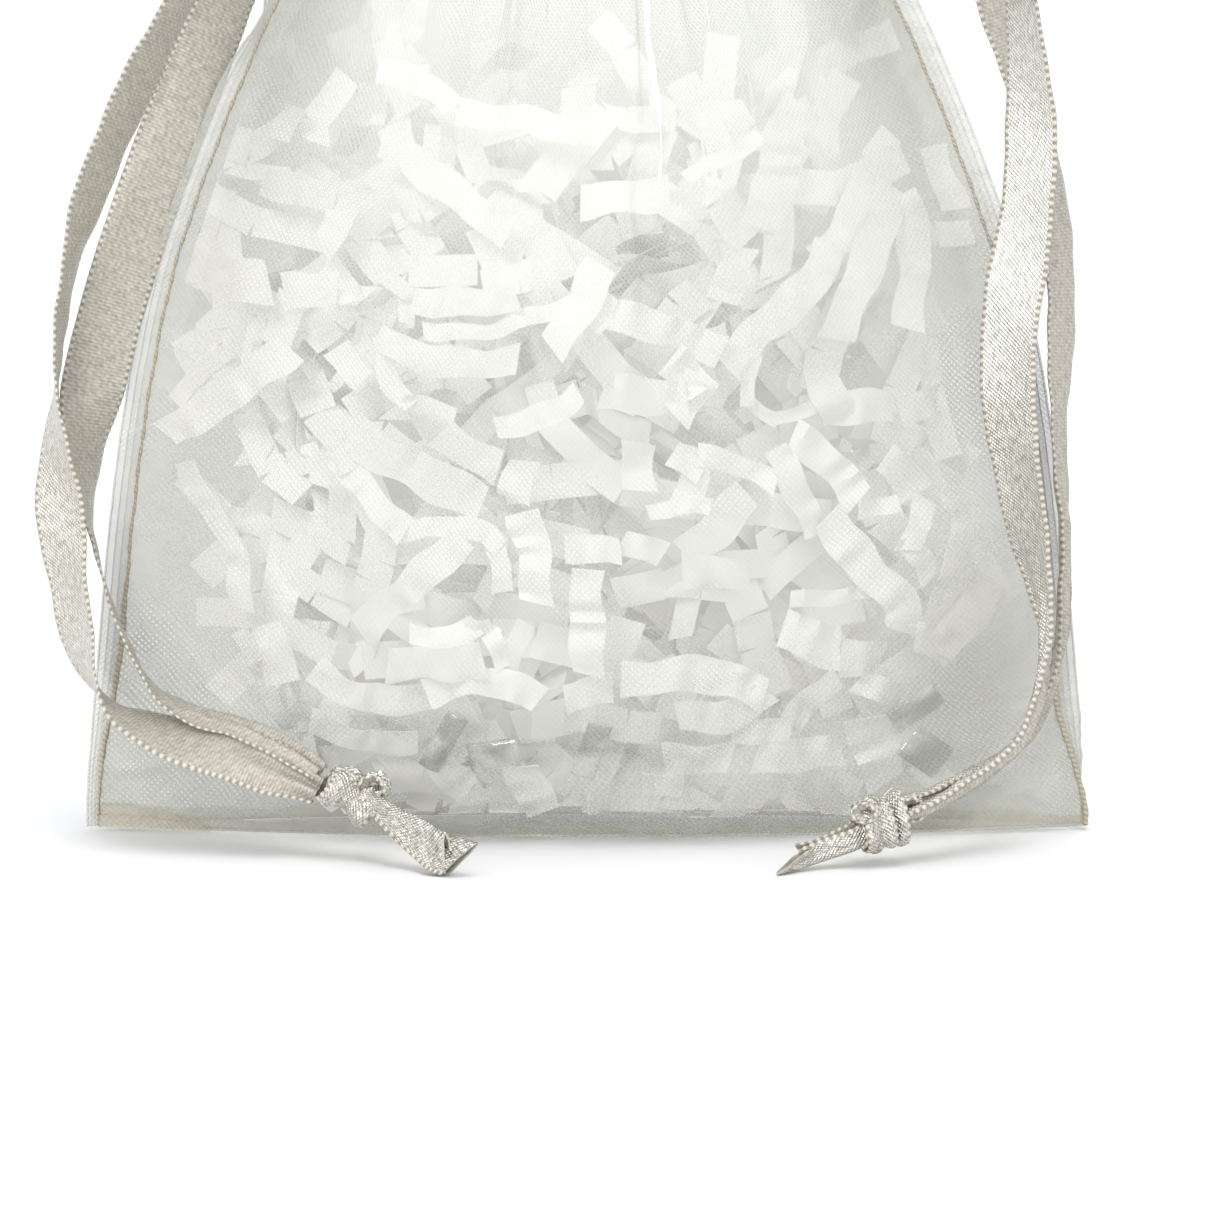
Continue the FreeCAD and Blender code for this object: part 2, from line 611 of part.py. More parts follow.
def tangent_path(points):
    pts = [Vector(*p) for p in points]
    n = len(pts)
    edges, radii, total = [], [], 0.0
    here = pts[0]
    for i in range(1, n - 1):
        a, b = pts[i] - pts[i - 1], pts[i + 1] - pts[i]
        la, lb = a.Length, b.Length
        ua, ub = a.normalize(), b.normalize()
        turn = math.acos(max(-1.0, min(1.0, ua.dot(ub))))
        cut = 0.45 * min(la, lb)
        r = cut / math.tan(turn / 2)
        radii.append((r, math.degrees(turn)))
        s, e = pts[i] - ua * cut, pts[i] + ub * cut
        bis = (ub - ua).normalize()
        mid = pts[i] + bis * (r / math.cos(turn / 2) - r)
        edges.append(Part.LineSegment(here, s).toShape())
        arc = Part.Arc(s, mid, e).toShape()
        edges.append(arc)
        total += (s - here).Length + arc.Length
        here = e
    edges.append(Part.LineSegment(here, pts[-1]).toShape())
    total += (pts[-1] - here).Length
    return Part.Wire(edges), radii, total


cord_area = math.pi * (dim("cord_diameter") / 2) ** 2
lengths = {}
for label, points in ROUTES.items():
    wire, radii, total = tangent_path(points)
    path = doc.addObject("Part::Feature", label + "_route")
    path.Shape = wire
    ring = doc.addObject("Part::Circle", label + "_section")
    ring.setExpression("Radius", "Dims.cord_diameter / 2")
    first = (Vector(*points[1]) - Vector(*points[0])).normalize()
    ring.Placement = FreeCAD.Placement(Vector(*points[0]), FreeCAD.Rotation(Vector(0, 0, 1), first))
    sweep = doc.addObject("Part::Sweep", label)
    sweep.Sections = [ring]
    sweep.Spine = (path, ["Edge%d" % (k + 1) for k in range(len(wire.Edges))])
    sweep.Solid = True
    sweep.Frenet = False
    sweep.Label = label
    nodes[label] = sweep
    lengths[label] = total
    print(label, "length", round(total, 1), "least radius", round(min(r for r, t in radii), 1),
          "largest turn", round(max(t for r, t in radii), 1))

# Knots: both strands of a ribbon tied together. Each is one rounded solid.
KNOTS = {
    # centre, half sizes along X, Y, Z
    "left_knot": ((-23.2, -15.3, 6.9), (3.5, 2.7, 2.9)),
    "right_knot": ((29.8, -17.4, 4.4), (3.5, 2.8, 3.1)),
}
for label, (centre, half) in KNOTS.items():
    k = doc.addObject("Part::Ellipsoid", label)
    for axis, v in zip("xyz", half):
        cell("%s_half_%s" % (label, axis), v)
    doc.recompute()
    k.setExpression("Radius1", "Dims.%s_half_z" % label)
    k.setExpression("Radius2", "Dims.%s_half_x" % label)
    k.setExpression("Radius3", "Dims.%s_half_y" % label)
    k.Angle1, k.Angle2, k.Angle3 = -90, 90, 360
    k.Placement = FreeCAD.Placement(Vector(*centre), FreeCAD.Rotation())
    k.Label = label
    nodes[label] = k

# Tails: the two cut ends of each ribbon past its knot, flat pieces that slope down to the surface.
cell("tail_thickness", 0.5)
cell("tail_width", 3.0)
doc.recompute()
TAILS = {
    # from, to
    "left_tail_upper": ((-21.0, -16.9, 6.2), (-13.2, -22.6, 2.2)),
    "left_tail_lower": ((-21.6, -17.4, 4.9), (-14.2, -22.9, 0.9)),
    "right_tail_upper": ((27.6, -19.1, 3.9), (19.0, -24.9, 1.7)),
    "right_tail_lower": ((28.3, -19.4, 2.7), (20.6, -24.8, 0.8)),
}
for label, (a, b) in TAILS.items():
    a, b = Vector(*a), Vector(*b)
    u = (b - a).normalize()
    side_dir = Vector(0, 0, 1).cross(u).normalize()
    up = u.cross(side_dir).normalize()
    m = FreeCAD.Matrix(u.x, side_dir.x, up.x, 0, u.y, side_dir.y, up.y, 0, u.z, side_dir.z, up.z, 0, 0, 0, 0, 1)
    r = FreeCAD.Placement(m).Rotation
    t = doc.addObject("Part::Box", label)
    t.Length = (b - a).Length
    t.setExpression("Width", "Dims.tail_width")
    t.setExpression("Height", "Dims.tail_thickness")
    off = r.multVec(Vector(0, dim("tail_width") / 2, dim("tail_thickness") / 2))
    t.Placement = FreeCAD.Placement(a - off, r)
    t.Label = label
    nodes[label] = t

doc.recompute()

# Check every object and every sub-part before anything is written.
bad = [o.Name for o in doc.Objects if "Invalid" in o.State or "Error" in o.State]
if bad:
    raise RuntimeError("failed objects: " + ", ".join(bad))
for label, obj in nodes.items():
    shape = obj.Shape
    if shape.isNull() or not shape.isValid() or not shape.Solids or shape.Volume <= 0:
        raise RuntimeError("bad shape: " + label)
for label, total in lengths.items():
    print(label, "volume over section times length", round(nodes[label].Shape.Volume / (cord_area * total), 3))

os.makedirs("parts", exist_ok=True)
for label, obj in nodes.items():
    obj.Shape.exportStep("parts/%s.step" % label)
print(len(nodes), "sub-parts written")
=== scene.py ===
import math

import bpy
import numpy as np
from mathutils import Matrix, Vector


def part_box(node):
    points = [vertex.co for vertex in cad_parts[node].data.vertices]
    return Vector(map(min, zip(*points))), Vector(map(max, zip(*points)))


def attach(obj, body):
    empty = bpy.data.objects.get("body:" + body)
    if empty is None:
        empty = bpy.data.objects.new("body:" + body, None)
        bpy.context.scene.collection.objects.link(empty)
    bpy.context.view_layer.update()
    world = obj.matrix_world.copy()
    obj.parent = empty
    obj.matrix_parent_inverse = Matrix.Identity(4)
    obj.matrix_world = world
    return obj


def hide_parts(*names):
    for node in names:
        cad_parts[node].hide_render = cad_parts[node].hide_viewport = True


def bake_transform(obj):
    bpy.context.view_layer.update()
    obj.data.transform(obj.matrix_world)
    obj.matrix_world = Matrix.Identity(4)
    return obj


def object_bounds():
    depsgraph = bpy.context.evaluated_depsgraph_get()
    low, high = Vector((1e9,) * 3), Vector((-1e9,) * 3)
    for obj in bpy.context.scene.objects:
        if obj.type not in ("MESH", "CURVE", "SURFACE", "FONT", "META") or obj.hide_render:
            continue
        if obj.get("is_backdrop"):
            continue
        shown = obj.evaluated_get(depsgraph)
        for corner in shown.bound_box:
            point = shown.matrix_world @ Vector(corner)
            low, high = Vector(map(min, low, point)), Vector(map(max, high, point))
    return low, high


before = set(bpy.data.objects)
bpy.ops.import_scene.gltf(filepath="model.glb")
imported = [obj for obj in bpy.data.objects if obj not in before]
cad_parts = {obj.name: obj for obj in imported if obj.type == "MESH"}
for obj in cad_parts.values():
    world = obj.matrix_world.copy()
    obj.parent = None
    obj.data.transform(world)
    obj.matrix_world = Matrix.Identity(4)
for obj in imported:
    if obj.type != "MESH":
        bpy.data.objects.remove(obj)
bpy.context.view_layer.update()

MM = 0.001
scene = bpy.context.scene
rng = np.random.default_rng(7)

# ------------------------------------------------------------------ camera
target = Vector((0.00205, 0.0, 0.0225))
distance = 0.5025
elevation = math.radians(9.0)
cam_data = bpy.data.cameras.new("camera")
cam_data.lens = 150.0
cam_data.sensor_width = 36.0
cam_data.clip_end = 60.0
cam = bpy.data.objects.new("camera", cam_data)
scene.collection.objects.link(cam)
cam.location = target + Vector((0.0, -math.cos(elevation), math.sin(elevation))) * distance
cam.rotation_euler = (target - cam.location).to_track_quat("-Z", "Y").to_euler()
scene.camera = cam
scene.view_settings.view_transform = "Standard"
scene.view_settings.look = "None"
scene.cycles.transparent_max_bounces = 48
scene.cycles.max_bounces = 10
scene.cycles.diffuse_bounces = 4


# ------------------------------------------------------------------ mesh helpers (millimetres in, metres out)
def smooth(t):
    t = np.clip(t, 0.0, 1.0)
    return t * t * (3 - 2 * t)


def pchip(xs, ys):
    xs, ys = np.array(xs, float), np.array(ys, float)
    h = np.diff(xs)
    d = np.diff(ys) / h
    m = np.zeros(len(xs))
    m[0], m[-1] = d[0], d[-1]
    for k in range(1, len(xs) - 1):
        if d[k - 1] * d[k] > 0:
            a, b = 2 * h[k] + h[k - 1], h[k] + 2 * h[k - 1]
            m[k] = (a + b) / (a / d[k - 1] + b / d[k])

    def f(x):
        x = np.clip(np.asarray(x, float), xs[0], xs[-1])
        i = np.clip(np.searchsorted(xs, x, side="right") - 1, 0, len(h) - 1)
        t = (x - xs[i]) / h[i]
        t2, t3 = t * t, t * t * t
        return (
            (2 * t3 - 3 * t2 + 1) * ys[i]
            + (t3 - 2 * t2 + t) * h[i] * m[i]
            + (-2 * t3 + 3 * t2) * ys[i + 1]
            + (t3 - t2) * h[i] * m[i + 1]
        )

    return f


def build(name, verts, faces, uv=None, mats=(), index=None, smooth_shade=True):
    mesh = bpy.data.meshes.new(name)
    mesh.from_pydata((np.asarray(verts, float) * MM).tolist(), [], faces)
    if uv is not None:
        layer = mesh.uv_layers.new(name="cloth")
        loops = np.zeros(len(mesh.loops), np.int32)
        mesh.loops.foreach_get("vertex_index", loops)
        layer.data.foreach_set("uv", np.asarray(uv, np.float32)[loops].ravel())
    for m in mats:
        mesh.materials.append(m)
    if index is not None:
        mesh.polygons.foreach_set("material_index", np.asarray(index, np.int32))
    mesh.polygons.foreach_set("use_smooth", np.full(len(mesh.polygons), bool(smooth_shade)))
    mesh.update()
    obj = bpy.data.objects.new(name, mesh)
    scene.collection.objects.link(obj)
    return obj


def grid_faces(rows, cols, start=0, wrap=False, flip=False):
    n = cols if wrap else cols - 1
    r, c = np.meshgrid(np.arange(rows - 1), np.arange(n), indexing="ij")
    a = start + r * cols + c
    b = start + r * cols + (c + 1) % cols
    d = start + (r + 1) * cols + c
    e = start + (r + 1) * cols + (c + 1) % cols
    quads = np.stack([a, b, e, d], -1).reshape(-1, 4)
    if flip:
        quads = quads[:, ::-1]
    return quads.tolist()


class Parts:
    """Collects several grids in one mesh."""

    def __init__(self):
        self.v, self.uv, self.f, self.m, self.n = [], [], [], [], 0

    def grid(self, P, uv=None, wrap=False, flip=False, mat=0):
        rows, cols = P.shape[:2]
        faces = grid_faces(rows, cols, self.n, wrap, flip)
        self.v.append(P.reshape(-1, 3))
        self.uv.append(np.zeros((rows * cols, 2)) if uv is None else uv.reshape(-1, 2))
        self.f += faces
        self.m += [mat] * len(faces) if np.isscalar(mat) else list(mat)
        first = self.n
        self.n += rows * cols
        return first

    def face(self, indices, mat=0):
        self.f.append(list(indices))
        self.m.append(mat)

    def object(self, name, mats, smooth_shade=True):
        return build(name, np.concatenate(self.v), self.f, np.concatenate(self.uv), mats, self.m, smooth_shade)


def tangents(P):
    T = np.gradient(P, axis=0)
    return T / np.maximum(np.linalg.norm(T, axis=1, keepdims=True), 1e-9)


def tube(parts, P, radius, sides=8, mat=0, flat=1.0):
    P = np.asarray(P, float)
    radius = np.broadcast_to(np.asarray(radius, float), (len(P),))
    T = tangents(P)
    ref = np.array([0.0, 1.0, 0.0]) if abs(T[0][1]) < 0.9 else np.array([1.0, 0.0, 0.0])
    rings, frames_v = [], ref
    for p, t, r in zip(P, T, radius):
        a = frames_v - t * np.dot(frames_v, t)
        a /= np.linalg.norm(a)
        b = np.cross(t, a)
        frames_v = a
        ang = np.linspace(0, 2 * np.pi, sides, endpoint=False)
        rings.append(p + r * (np.outer(np.cos(ang), a) * flat + np.outer(np.sin(ang), b)))
    R = np.array(rings)
    s = np.concatenate([[0], np.cumsum(np.linalg.norm(np.diff(P, axis=0), axis=1))])
    uv = np.stack(np.broadcast_arrays(np.linspace(0, 1, sides)[None, :], s[:, None]), -1)
    first = parts.grid(R, uv, wrap=True, mat=mat)
    parts.face(range(first + sides - 1, first - 1, -1), mat)
    last = first + (len(P) - 1) * sides
    parts.face(range(last, last + sides), mat)


# ------------------------------------------------------------------ materials
class Mat:
    def __init__(self, name):
        self.m = bpy.data.materials.new(name)
        self.m.use_nodes = True
        self.t = self.m.node_tree
        self.b = self.t.nodes["Principled BSDF"]

    def node(self, kind, **values):
        n = self.t.nodes.new(kind)
        for k, v in values.items():
            setattr(n, k, v)
        return n

    def link(self, a, b):
        self.t.links.new(a, b)

    def put(self, name, value):
        self.b.inputs[name].default_value = value

    def math(self, op, a, b=None, c=None, clamp=False):
        n = self.node("ShaderNodeMath", operation=op, use_clamp=clamp)
        for i, x in enumerate((a, b, c)):
            if x is None:
                continue
            if hasattr(x, "is_linked") or hasattr(x, "links"):
                self.link(x, n.inputs[i])
            else:
                n.inputs[i].default_value = x
        return n.outputs[0]

    def mix(self, factor, a, b):
        n = self.node("ShaderNodeMix", data_type="RGBA")
        for i, x in ((0, factor), (6, a), (7, b)):
            if hasattr(x, "links"):
                self.link(x, n.inputs[i])
            else:
                n.inputs[i].default_value = x
        return n.outputs[2]

    def uv(self):
        n = self.node("ShaderNodeUVMap")
        n.uv_map = "cloth"
        s = self.node("ShaderNodeSeparateXYZ")
        self.link(n.outputs[0], s.inputs[0])
        return s.outputs[0], s.outputs[1]

    def wave(self, x, pitch, phase=0.0):
        """0..1 cosine of a length in millimetres."""
        return self.math("MULTIPLY_ADD", self.math("COSINE", self.math("MULTIPLY_ADD", x, 2 * math.pi / pitch, phase)), 0.5, 0.5)

    def noise(self, scale, detail=2.0, vector=None):
        n = self.node("ShaderNodeTexNoise")
        n.inputs["Scale"].default_value = scale
        n.inputs["Detail"].default_value = detail
        if vector is None:
            c = self.node("ShaderNodeTexCoord")
            vector = c.outputs["Object"]
        self.link(vector, n.inputs["Vector"])
        return n.outputs["Fac"]

    def ramp(self, x, lo, hi, a, b):
        n = self.node("ShaderNodeMapRange")
        self.link(x, n.inputs[0])
        for i, v in enumerate((lo, hi, a, b)):
            n.inputs[i + 1].default_value = v
        return n.outputs[0]

    def bump(self, height, distance, strength=1.0):
        n = self.node("ShaderNodeBump")
        n.inputs["Distance"].default_value = distance
        n.inputs["Strength"].default_value = strength
        self.link(height, n.inputs["Height"])
        self.link(n.outputs[0], self.b.inputs["Normal"])


def organza(name, thin, dense_and_painted_sheen, gap, thread, pitch):
    """Sheer plain weave on the bias; where it is bunched towards the neck more threads lie over each other, so it is
    less sheer there. Its colour turns lighter towards the neck, less so near the seams, partly for the extra layers and
    partly as a painted sheen of the folds; low on the right it is painted darker and more opaque as painted shade.
    """
    m = Mat(name)
    u, v = m.uv()
    place = m.node("ShaderNodeTexCoord")
    axes = m.node("ShaderNodeSeparateXYZ")
    m.link(place.outputs["Object"], axes.inputs[0])
    gather_and_painted_sheen = m.ramp(axes.outputs[2], 0.048, 0.090, 0.0, 1.0)
    drift = m.math("MULTIPLY", m.math("SUBTRACT", m.noise(180.0, 2.0), 0.5), 0.9)
    a = m.math("ADD", m.math("MULTIPLY", m.math("ADD", u, v), 0.7071), drift)
    b = m.math("ADD", m.math("MULTIPLY", m.math("SUBTRACT", u, v), 0.7071), drift)
    warp = m.ramp(m.wave(a, pitch), 0.25, 0.8, 0.0, 1.0)
    weft = m.ramp(m.wave(b, pitch * 1.08, 1.3), 0.35, 0.9, 0.0, 1.0)
    cover = m.math("MAXIMUM", warp, m.math("MULTIPLY", weft, 0.8))
    patchy = m.ramp(m.noise(60.0, 2.0), 0.46, 0.61, 0.06, 1.0)
    cover = m.math("MULTIPLY_ADD", m.math("SUBTRACT", cover, 0.6), patchy, 0.6)
    cloud = m.ramp(m.noise(45.0, 3.0), 0.3, 0.7, 0.88, 1.12)
    # painted shade: low on the right the cloth is made more opaque and darker where the filling and ribbons shade it
    painted_shade_low_right = m.math("MULTIPLY", m.ramp(axes.outputs[0], 0.024, 0.036, 0.0, 1.0), m.ramp(axes.outputs[2], 0.034, 0.016, 0.0, 1.0))
    alpha = m.math("MULTIPLY", m.ramp(cover, 0.0, 1.0, gap, thread), cloud)
    alpha = m.math("MULTIPLY_ADD", gather_and_painted_sheen, 0.17, alpha)
    alpha = m.math("MULTIPLY_ADD", painted_shade_low_right, 0.10, alpha, clamp=True)
    m.link(alpha, m.b.inputs["Alpha"])
    # painted sheen: the colour moves towards the lighter one up the neck, partly for the extra layers there, and less
    # near the seams
    painted_sheen_inward = m.ramp(m.math("ABSOLUTE", u), 34.0, 45.0, 1.0, 0.0)
    tint = m.math("MULTIPLY_ADD", m.math("SUBTRACT", m.noise(38.0, 3.0), 0.5), 0.30, m.math("MULTIPLY", gather_and_painted_sheen, painted_sheen_inward))
    # painted shade darkens the colour low on the right
    tint = m.math("SUBTRACT", tint, m.math("MULTIPLY", painted_shade_low_right, 0.3))
    m.link(m.mix(m.math("MAXIMUM", tint, -0.25), thin, dense_and_painted_sheen), m.b.inputs["Base Color"])
    m.put("Roughness", 0.40)
    m.put("Specular IOR Level", 0.5)
    m.put("Sheen Weight", 0.15)
    m.put("Sheen Roughness", 0.4)
    m.bump(m.math("ADD", warp, weft), 0.00005, 0.5)
    return m.m


organza_mat = organza("organza_cloth", (0.37, 0.37, 0.316, 1), (0.67, 0.67, 0.63, 1), 0.27, 0.57, 0.44)
hem_mat = organza("organza_folded_hem", (0.50, 0.47, 0.385, 1), (0.66, 0.625, 0.54, 1), 0.34, 0.52, 0.44)
seam_mat = organza("organza_seam_cloth", (0.50, 0.50, 0.455, 1), (0.62, 0.62, 0.58, 1), 0.28, 0.40, 0.44)
# painted highlight: a near-white copy of the organza, drawn on the pleat ridges
pleat_painted_highlight_mat = organza("organza_pleat_painted_highlight", (0.93, 0.93, 0.91, 1), (0.97, 0.97, 0.955, 1), 0.50, 0.74, 0.44)

m = Mat("beige_thread")
u, v = m.uv()
ply = m.wave(m.math("ADD", v, m.math("MULTIPLY", u, 0.55)), 0.55)
m.link(m.mix(ply, (0.30, 0.26, 0.185, 1), (0.46, 0.41, 0.31, 1)), m.b.inputs["Base Color"])
m.put("Roughness", 0.6)
m.put("Sheen Weight", 0.2)
m.bump(ply, 0.00006, 0.7)
thread_mat = m.m

# three paper tones; scattered strips take one at random, laid strips also take the darker ones as painted shade
paper_mats = []
for k, (lo, hi) in enumerate((((0.93, 0.935, 0.92, 1), (0.965, 0.965, 0.955, 1)), ((0.91, 0.91, 0.89, 1), (0.95, 0.95, 0.935, 1)), ((0.87, 0.87, 0.845, 1), (0.93, 0.93, 0.91, 1)))):
    m = Mat("crinkle_paper_%d" % (k + 1))
    fibre = m.noise(900.0 + 70 * k, 4.0)
    cloud = m.noise(90.0, 2.0)
    m.link(m.mix(cloud, lo, hi), m.b.inputs["Base Color"])
    m.link(m.ramp(fibre, 0.3, 0.7, 0.6, 0.8), m.b.inputs["Roughness"])
    m.put("Specular IOR Level", 0.3)
    m.bump(fibre, 0.00005, 0.5)
    paper_mats.append(m.m)

m = Mat("clear_film_gloss")
streak = m.noise(420.0, 2.0)
glint = m.ramp(m.noise(210.0, 1.0), 0.42, 0.58, 0.0, 1.0)
m.link(m.mix(glint, (0.40, 0.41, 0.41, 1), (0.97, 0.975, 0.98, 1)), m.b.inputs["Base Color"])
m.link(m.ramp(streak, 0.3, 0.7, 0.35, 0.75), m.b.inputs["Alpha"])
m.put("Roughness", 0.12)
m.put("Metallic", 0.55)
m.put("IOR", 1.55)
m.put("Specular IOR Level", 0.9)
m.put("Coat Weight", 0.8)
m.put("Coat Roughness", 0.04)
m.bump(streak, 0.0002, 0.3)
film_mat = m.m


def satin(name, dark, light, roughness, pitch, slope, bump, anisotropic, metallic, sheen, crumple, painted_highlight_span=None):
    m = Mat(name)
    u, v = m.uv()
    rib = m.wave(m.math("ADD", v, m.math("MULTIPLY", u, slope)), pitch)
    rib2 = m.wave(m.math("SUBTRACT", v, m.math("MULTIPLY", u, slope * 2.2 + 0.6)), pitch * 1.7, 0.7)
    place = m.node("ShaderNodeCombineXYZ")
    m.link(m.math("MULTIPLY", u, 2.6), place.inputs[0])
    m.link(m.math("MULTIPLY", v, 1.1), place.inputs[1])
    fleck = m.noise(1.0, 3.0, place.outputs[0])
    tone = m.math("MULTIPLY_ADD", m.math("MULTIPLY", rib, rib2), 0.5, m.math("MULTIPLY", m.noise(150.0, 3.0), 0.35))
    tone = m.math("MULTIPLY_ADD", m.math("SUBTRACT", fleck, 0.5), 1.5, tone)
    tone = m.math("MULTIPLY_ADD", m.math("SUBTRACT", m.noise(2600.0, 2.0), 0.5), 0.6, m.math("ADD", tone, 0.08), clamp=True)
    if painted_highlight_span:  # painted highlight: the colour is painted lighter along one stretch of the ribbon's length and a little darker elsewhere
        length = m.math("MULTIPLY_ADD", m.math("SUBTRACT", m.noise(90.0, 2.0), 0.5), 9.0, v)
        flat = m.math("MULTIPLY", m.ramp(length, painted_highlight_span[0], painted_highlight_span[1], 0.0, 1.0), m.ramp(length, painted_highlight_span[2], painted_highlight_span[3], 1.0, 0.0))
        tone = m.math("ADD", tone, m.math("MULTIPLY_ADD", flat, 0.34, -0.07), clamp=True)
    m.link(m.mix(tone, dark, light), m.b.inputs["Base Color"])
    m.link(m.ramp(fleck, 0.3, 0.7, roughness + 0.07, roughness - 0.07), m.b.inputs["Roughness"])
    m.put("Specular IOR Level", 0.9 if slope else 0.4)
    m.put("Metallic", metallic)
    m.put("Anisotropic", anisotropic)
    m.put("Sheen Weight", sheen)
    m.put("Sheen Roughness", 0.35)
    height = m.math("MULTIPLY_ADD", fleck, 1.4, m.math("ADD", rib, m.math("MULTIPLY", rib2, 0.5)))
    if crumple:
        height = m.math("MULTIPLY_ADD", m.noise(900.0, 2.0), crumple, height)
    m.bump(height, bump, 0.8)
    t = m.node("ShaderNodeTangent", direction_type="UV_MAP")
    t.uv_map = "cloth"
    m.link(t.outputs[0], m.b.inputs["Tangent"])
    return m.m


satin_mat = satin("satin_face", (0.36, 0.335, 0.28, 1), (0.86, 0.835, 0.76, 1), 0.29, 0.42, 0.8, 0.00008, 0.6, 0.42, 0.15, 0.0)
# painted highlight: a copy of the satin face for the right front strand, lighter from about 44 to 88 mm along it
satin_painted_highlight_mat = satin("satin_face_painted_highlight", (0.36, 0.335, 0.28, 1), (0.93, 0.92, 0.88, 1), 0.29, 0.42, 0.8, 0.00008, 0.6, 0.42, 0.15, 0.0, (44.0, 62.0, 70.0, 88.0))
reverse_mat = satin("satin_reverse", (0.34, 0.315, 0.265, 1), (0.60, 0.57, 0.50, 1), 0.42, 0.34, 0.0, 0.00007, 0.3, 0.15, 0.2, 0.0)
crushed_mat = satin("satin_crushed", (0.33, 0.308, 0.258, 1), (0.95, 0.93, 0.87, 1), 0.24, 0.42, 0.8, 0.00010, 0.5, 0.55, 0.1, 9.0)

m = Mat("satin_selvedge")
u, v = m.uv()
bead = m.wave(v, 0.75)
# the colour is darker between the beads: painted shade in the gaps between the edge loops
m.link(m.mix(bead, (0.24, 0.215, 0.17, 1), (0.62, 0.59, 0.52, 1)), m.b.inputs["Base Color"])
m.put("Roughness", 0.45)
m.put("Sheen Weight", 0.2)
m.bump(bead, 0.00005, 0.7)
selvedge_mat = m.m

# ------------------------------------------------------------------ the cloth's shape
LEVELS = [
    (0.4, 49.9, 5.6), (4, 49.8, 8.4), (9, 49.4, 11.4), (17, 48.6, 14.6), (30, 47.3, 17.2), (43, 45.5, 17.8),
    (55, 43.0, 17.0), (67.5, 38.7, 15.2), (76, 35.2, 13.5), (84, 31.4, 11.6), (92, 25.6, 9.4), (98, 18.6, 7.6),
    (102, 11.9, 6.2), (103.3, 10.6, 5.7), (104.9, 10.4, 5.3), (107.8, 10.7, 6.1), (110.7, 10.4, 5.4), (112.9, 10.0, 4.3),
    (114.4, 9.7, 3.1), (120, 13.4, 3.7), (129, 19.0, 5.4), (138.4, 24.0, 7.2), (141.2, 25.2, 8.0),
]
half = pchip([a[0] for a in LEVELS], [a[1] for a in LEVELS])
bulge = pchip([a[0] for a in LEVELS], [a[2] for a in LEVELS])
SEAM = 2.2


def seam_width(z, right):
    w = SEAM * (1 - smooth((z - 92.0) / 10.0) * 0.8)
    w = np.where(z > 103.2, 0.0, w)
    if right:
        w = w * smooth((z - 1.0) / 13.0)
    else:
        w = w * (1 - 0.5 * smooth((20.0 - z) / 16.0))
    return w


fold_a = pchip([0, 57, 70, 84, 98, 103, 106, 112, 116, 124, 134, 141], [0, 0, 0.35, 0.95, 1.25, 1.0, 0.7, 0.8, 0.9, 1.6, 2.4, 2.9])
fold_b = pchip([0, 70, 84, 94, 103, 112, 120, 130, 141], [0, 0, 0.45, 0.8, 0.75, 0.75, 0.9, 0.8, 0.6])
waves = [(a, b, c, d) for a, b, c, d in zip(rng.uniform(9, 27, 14), rng.uniform(0, np.pi, 14), rng.uniform(0, 2 * np.pi, 14), rng.uniform(0.5, 1.0, 14))]
PH = rng.uniform(0, 2 * np.pi, 12)


def folds(u, side, k):
    warp = u + 0.05 * np.sin(5.1 * u + PH[0] + side) + 0.03 * np.sin(11.0 * u + PH[1] - side)
    a = np.sin(2 * np.pi * 3.6 * warp + PH[2] * side)
    b = np.sin(2 * np.pi * 8.3 * warp + PH[3] + 2.0 * side + 1.1 * np.sin(4.0 * u))
    return a if k == 0 else b


def cloth_point(u, z, side, out=0.0):
    """side -1 is the front sheet, +1 the back one; u runs from seam to seam."""
    u, z = np.broadcast_arrays(np.asarray(u, float), np.asarray(z, float))
    xl, xr = -(half(z) - seam_width(z, False)), half(z) - seam_width(z, True)
    x = (xl + xr) / 2 + u * (xr - xl) / 2
    edge = smooth((1 - np.abs(u)) / 0.13)
    d = bulge(z) * (1 - np.abs(u) ** 2.15)
    body = smooth((z - 3) / 12) * (1 - smooth((z - 88) / 12))
    lump = sum(w * np.sin(2 * np.pi * (x * np.cos(t) + z * np.sin(t)) / l + p + side) for l, t, p, w in waves) / 14
    d = d + 1.6 * body * edge * lump
    # tight diagonal creases that run in from the seams and the lower corners
    crease = np.exp(-(((z - 6.0) - 0.16 * (x + 50)) / 1.1) ** 2) * smooth((-x - 36) / 8) * (1 - smooth((-x - 48) / 2))
    d = d + 0.45 * crease
    pleat = fold_a(z) * folds(u, side, 0) + fold_b(z) * folds(u, side, 1)
    d = d + edge * pleat
    if side < 0:
        main = np.exp(-((u - 0.235 - 0.0009 * (z - 83)) / 0.016) ** 2) * smooth((z - 61) / 9)
        d = d + 1.3 * main * (1 - smooth((z - 100) / 6))
    pucker = np.exp(-(1 - np.abs(u)) / 0.05) * body
    d = d + 0.3 * pucker * edge * np.sin(z * 1.35 + 2 * np.sin(z * 0.21) + np.sign(u)) * 2.0
    # the gathers also shift the cloth sideways a little, so that they look rounded and not like a wave
    x = x + edge * 0.35 * fold_b(z) * np.cos(2 * np.pi * 8.3 * u + PH[4])
    x = x + edge * 0.42 * fold_a(z) * smooth((z - 114) / 10) * np.cos(2 * np.pi * 3.6 * u + PH[2] * side)
    top = smooth((z - 128) / 13)
    zz = z + top * (0.55 * np.sin(2 * np.pi * 2.3 * u + PH[5] + side) + 0.25 * np.sin(2 * np.pi * 6.1 * u + PH[6]))
    return np.stack([x, side * (np.maximum(d, 0.02 * np.ones_like(d)) + out), zz], -1)


def room(x, z):
    """How deep the filling may reach at a place, from the middle plane."""
    h = half(z) - 2.4
    return np.maximum(bulge(z) * (1 - np.clip(np.abs(x) / h, 0, 1) ** 2.15) - 1.5, 0.25)


def cloth_uv(u, z):
    u, z = np.broadcast_arrays(np.asarray(u, float), np.asarray(z, float))
    return np.stack([u * 49.0, z], -1)


def even(n, sharp=0.0):
    return np.linspace(-1, 1, n)


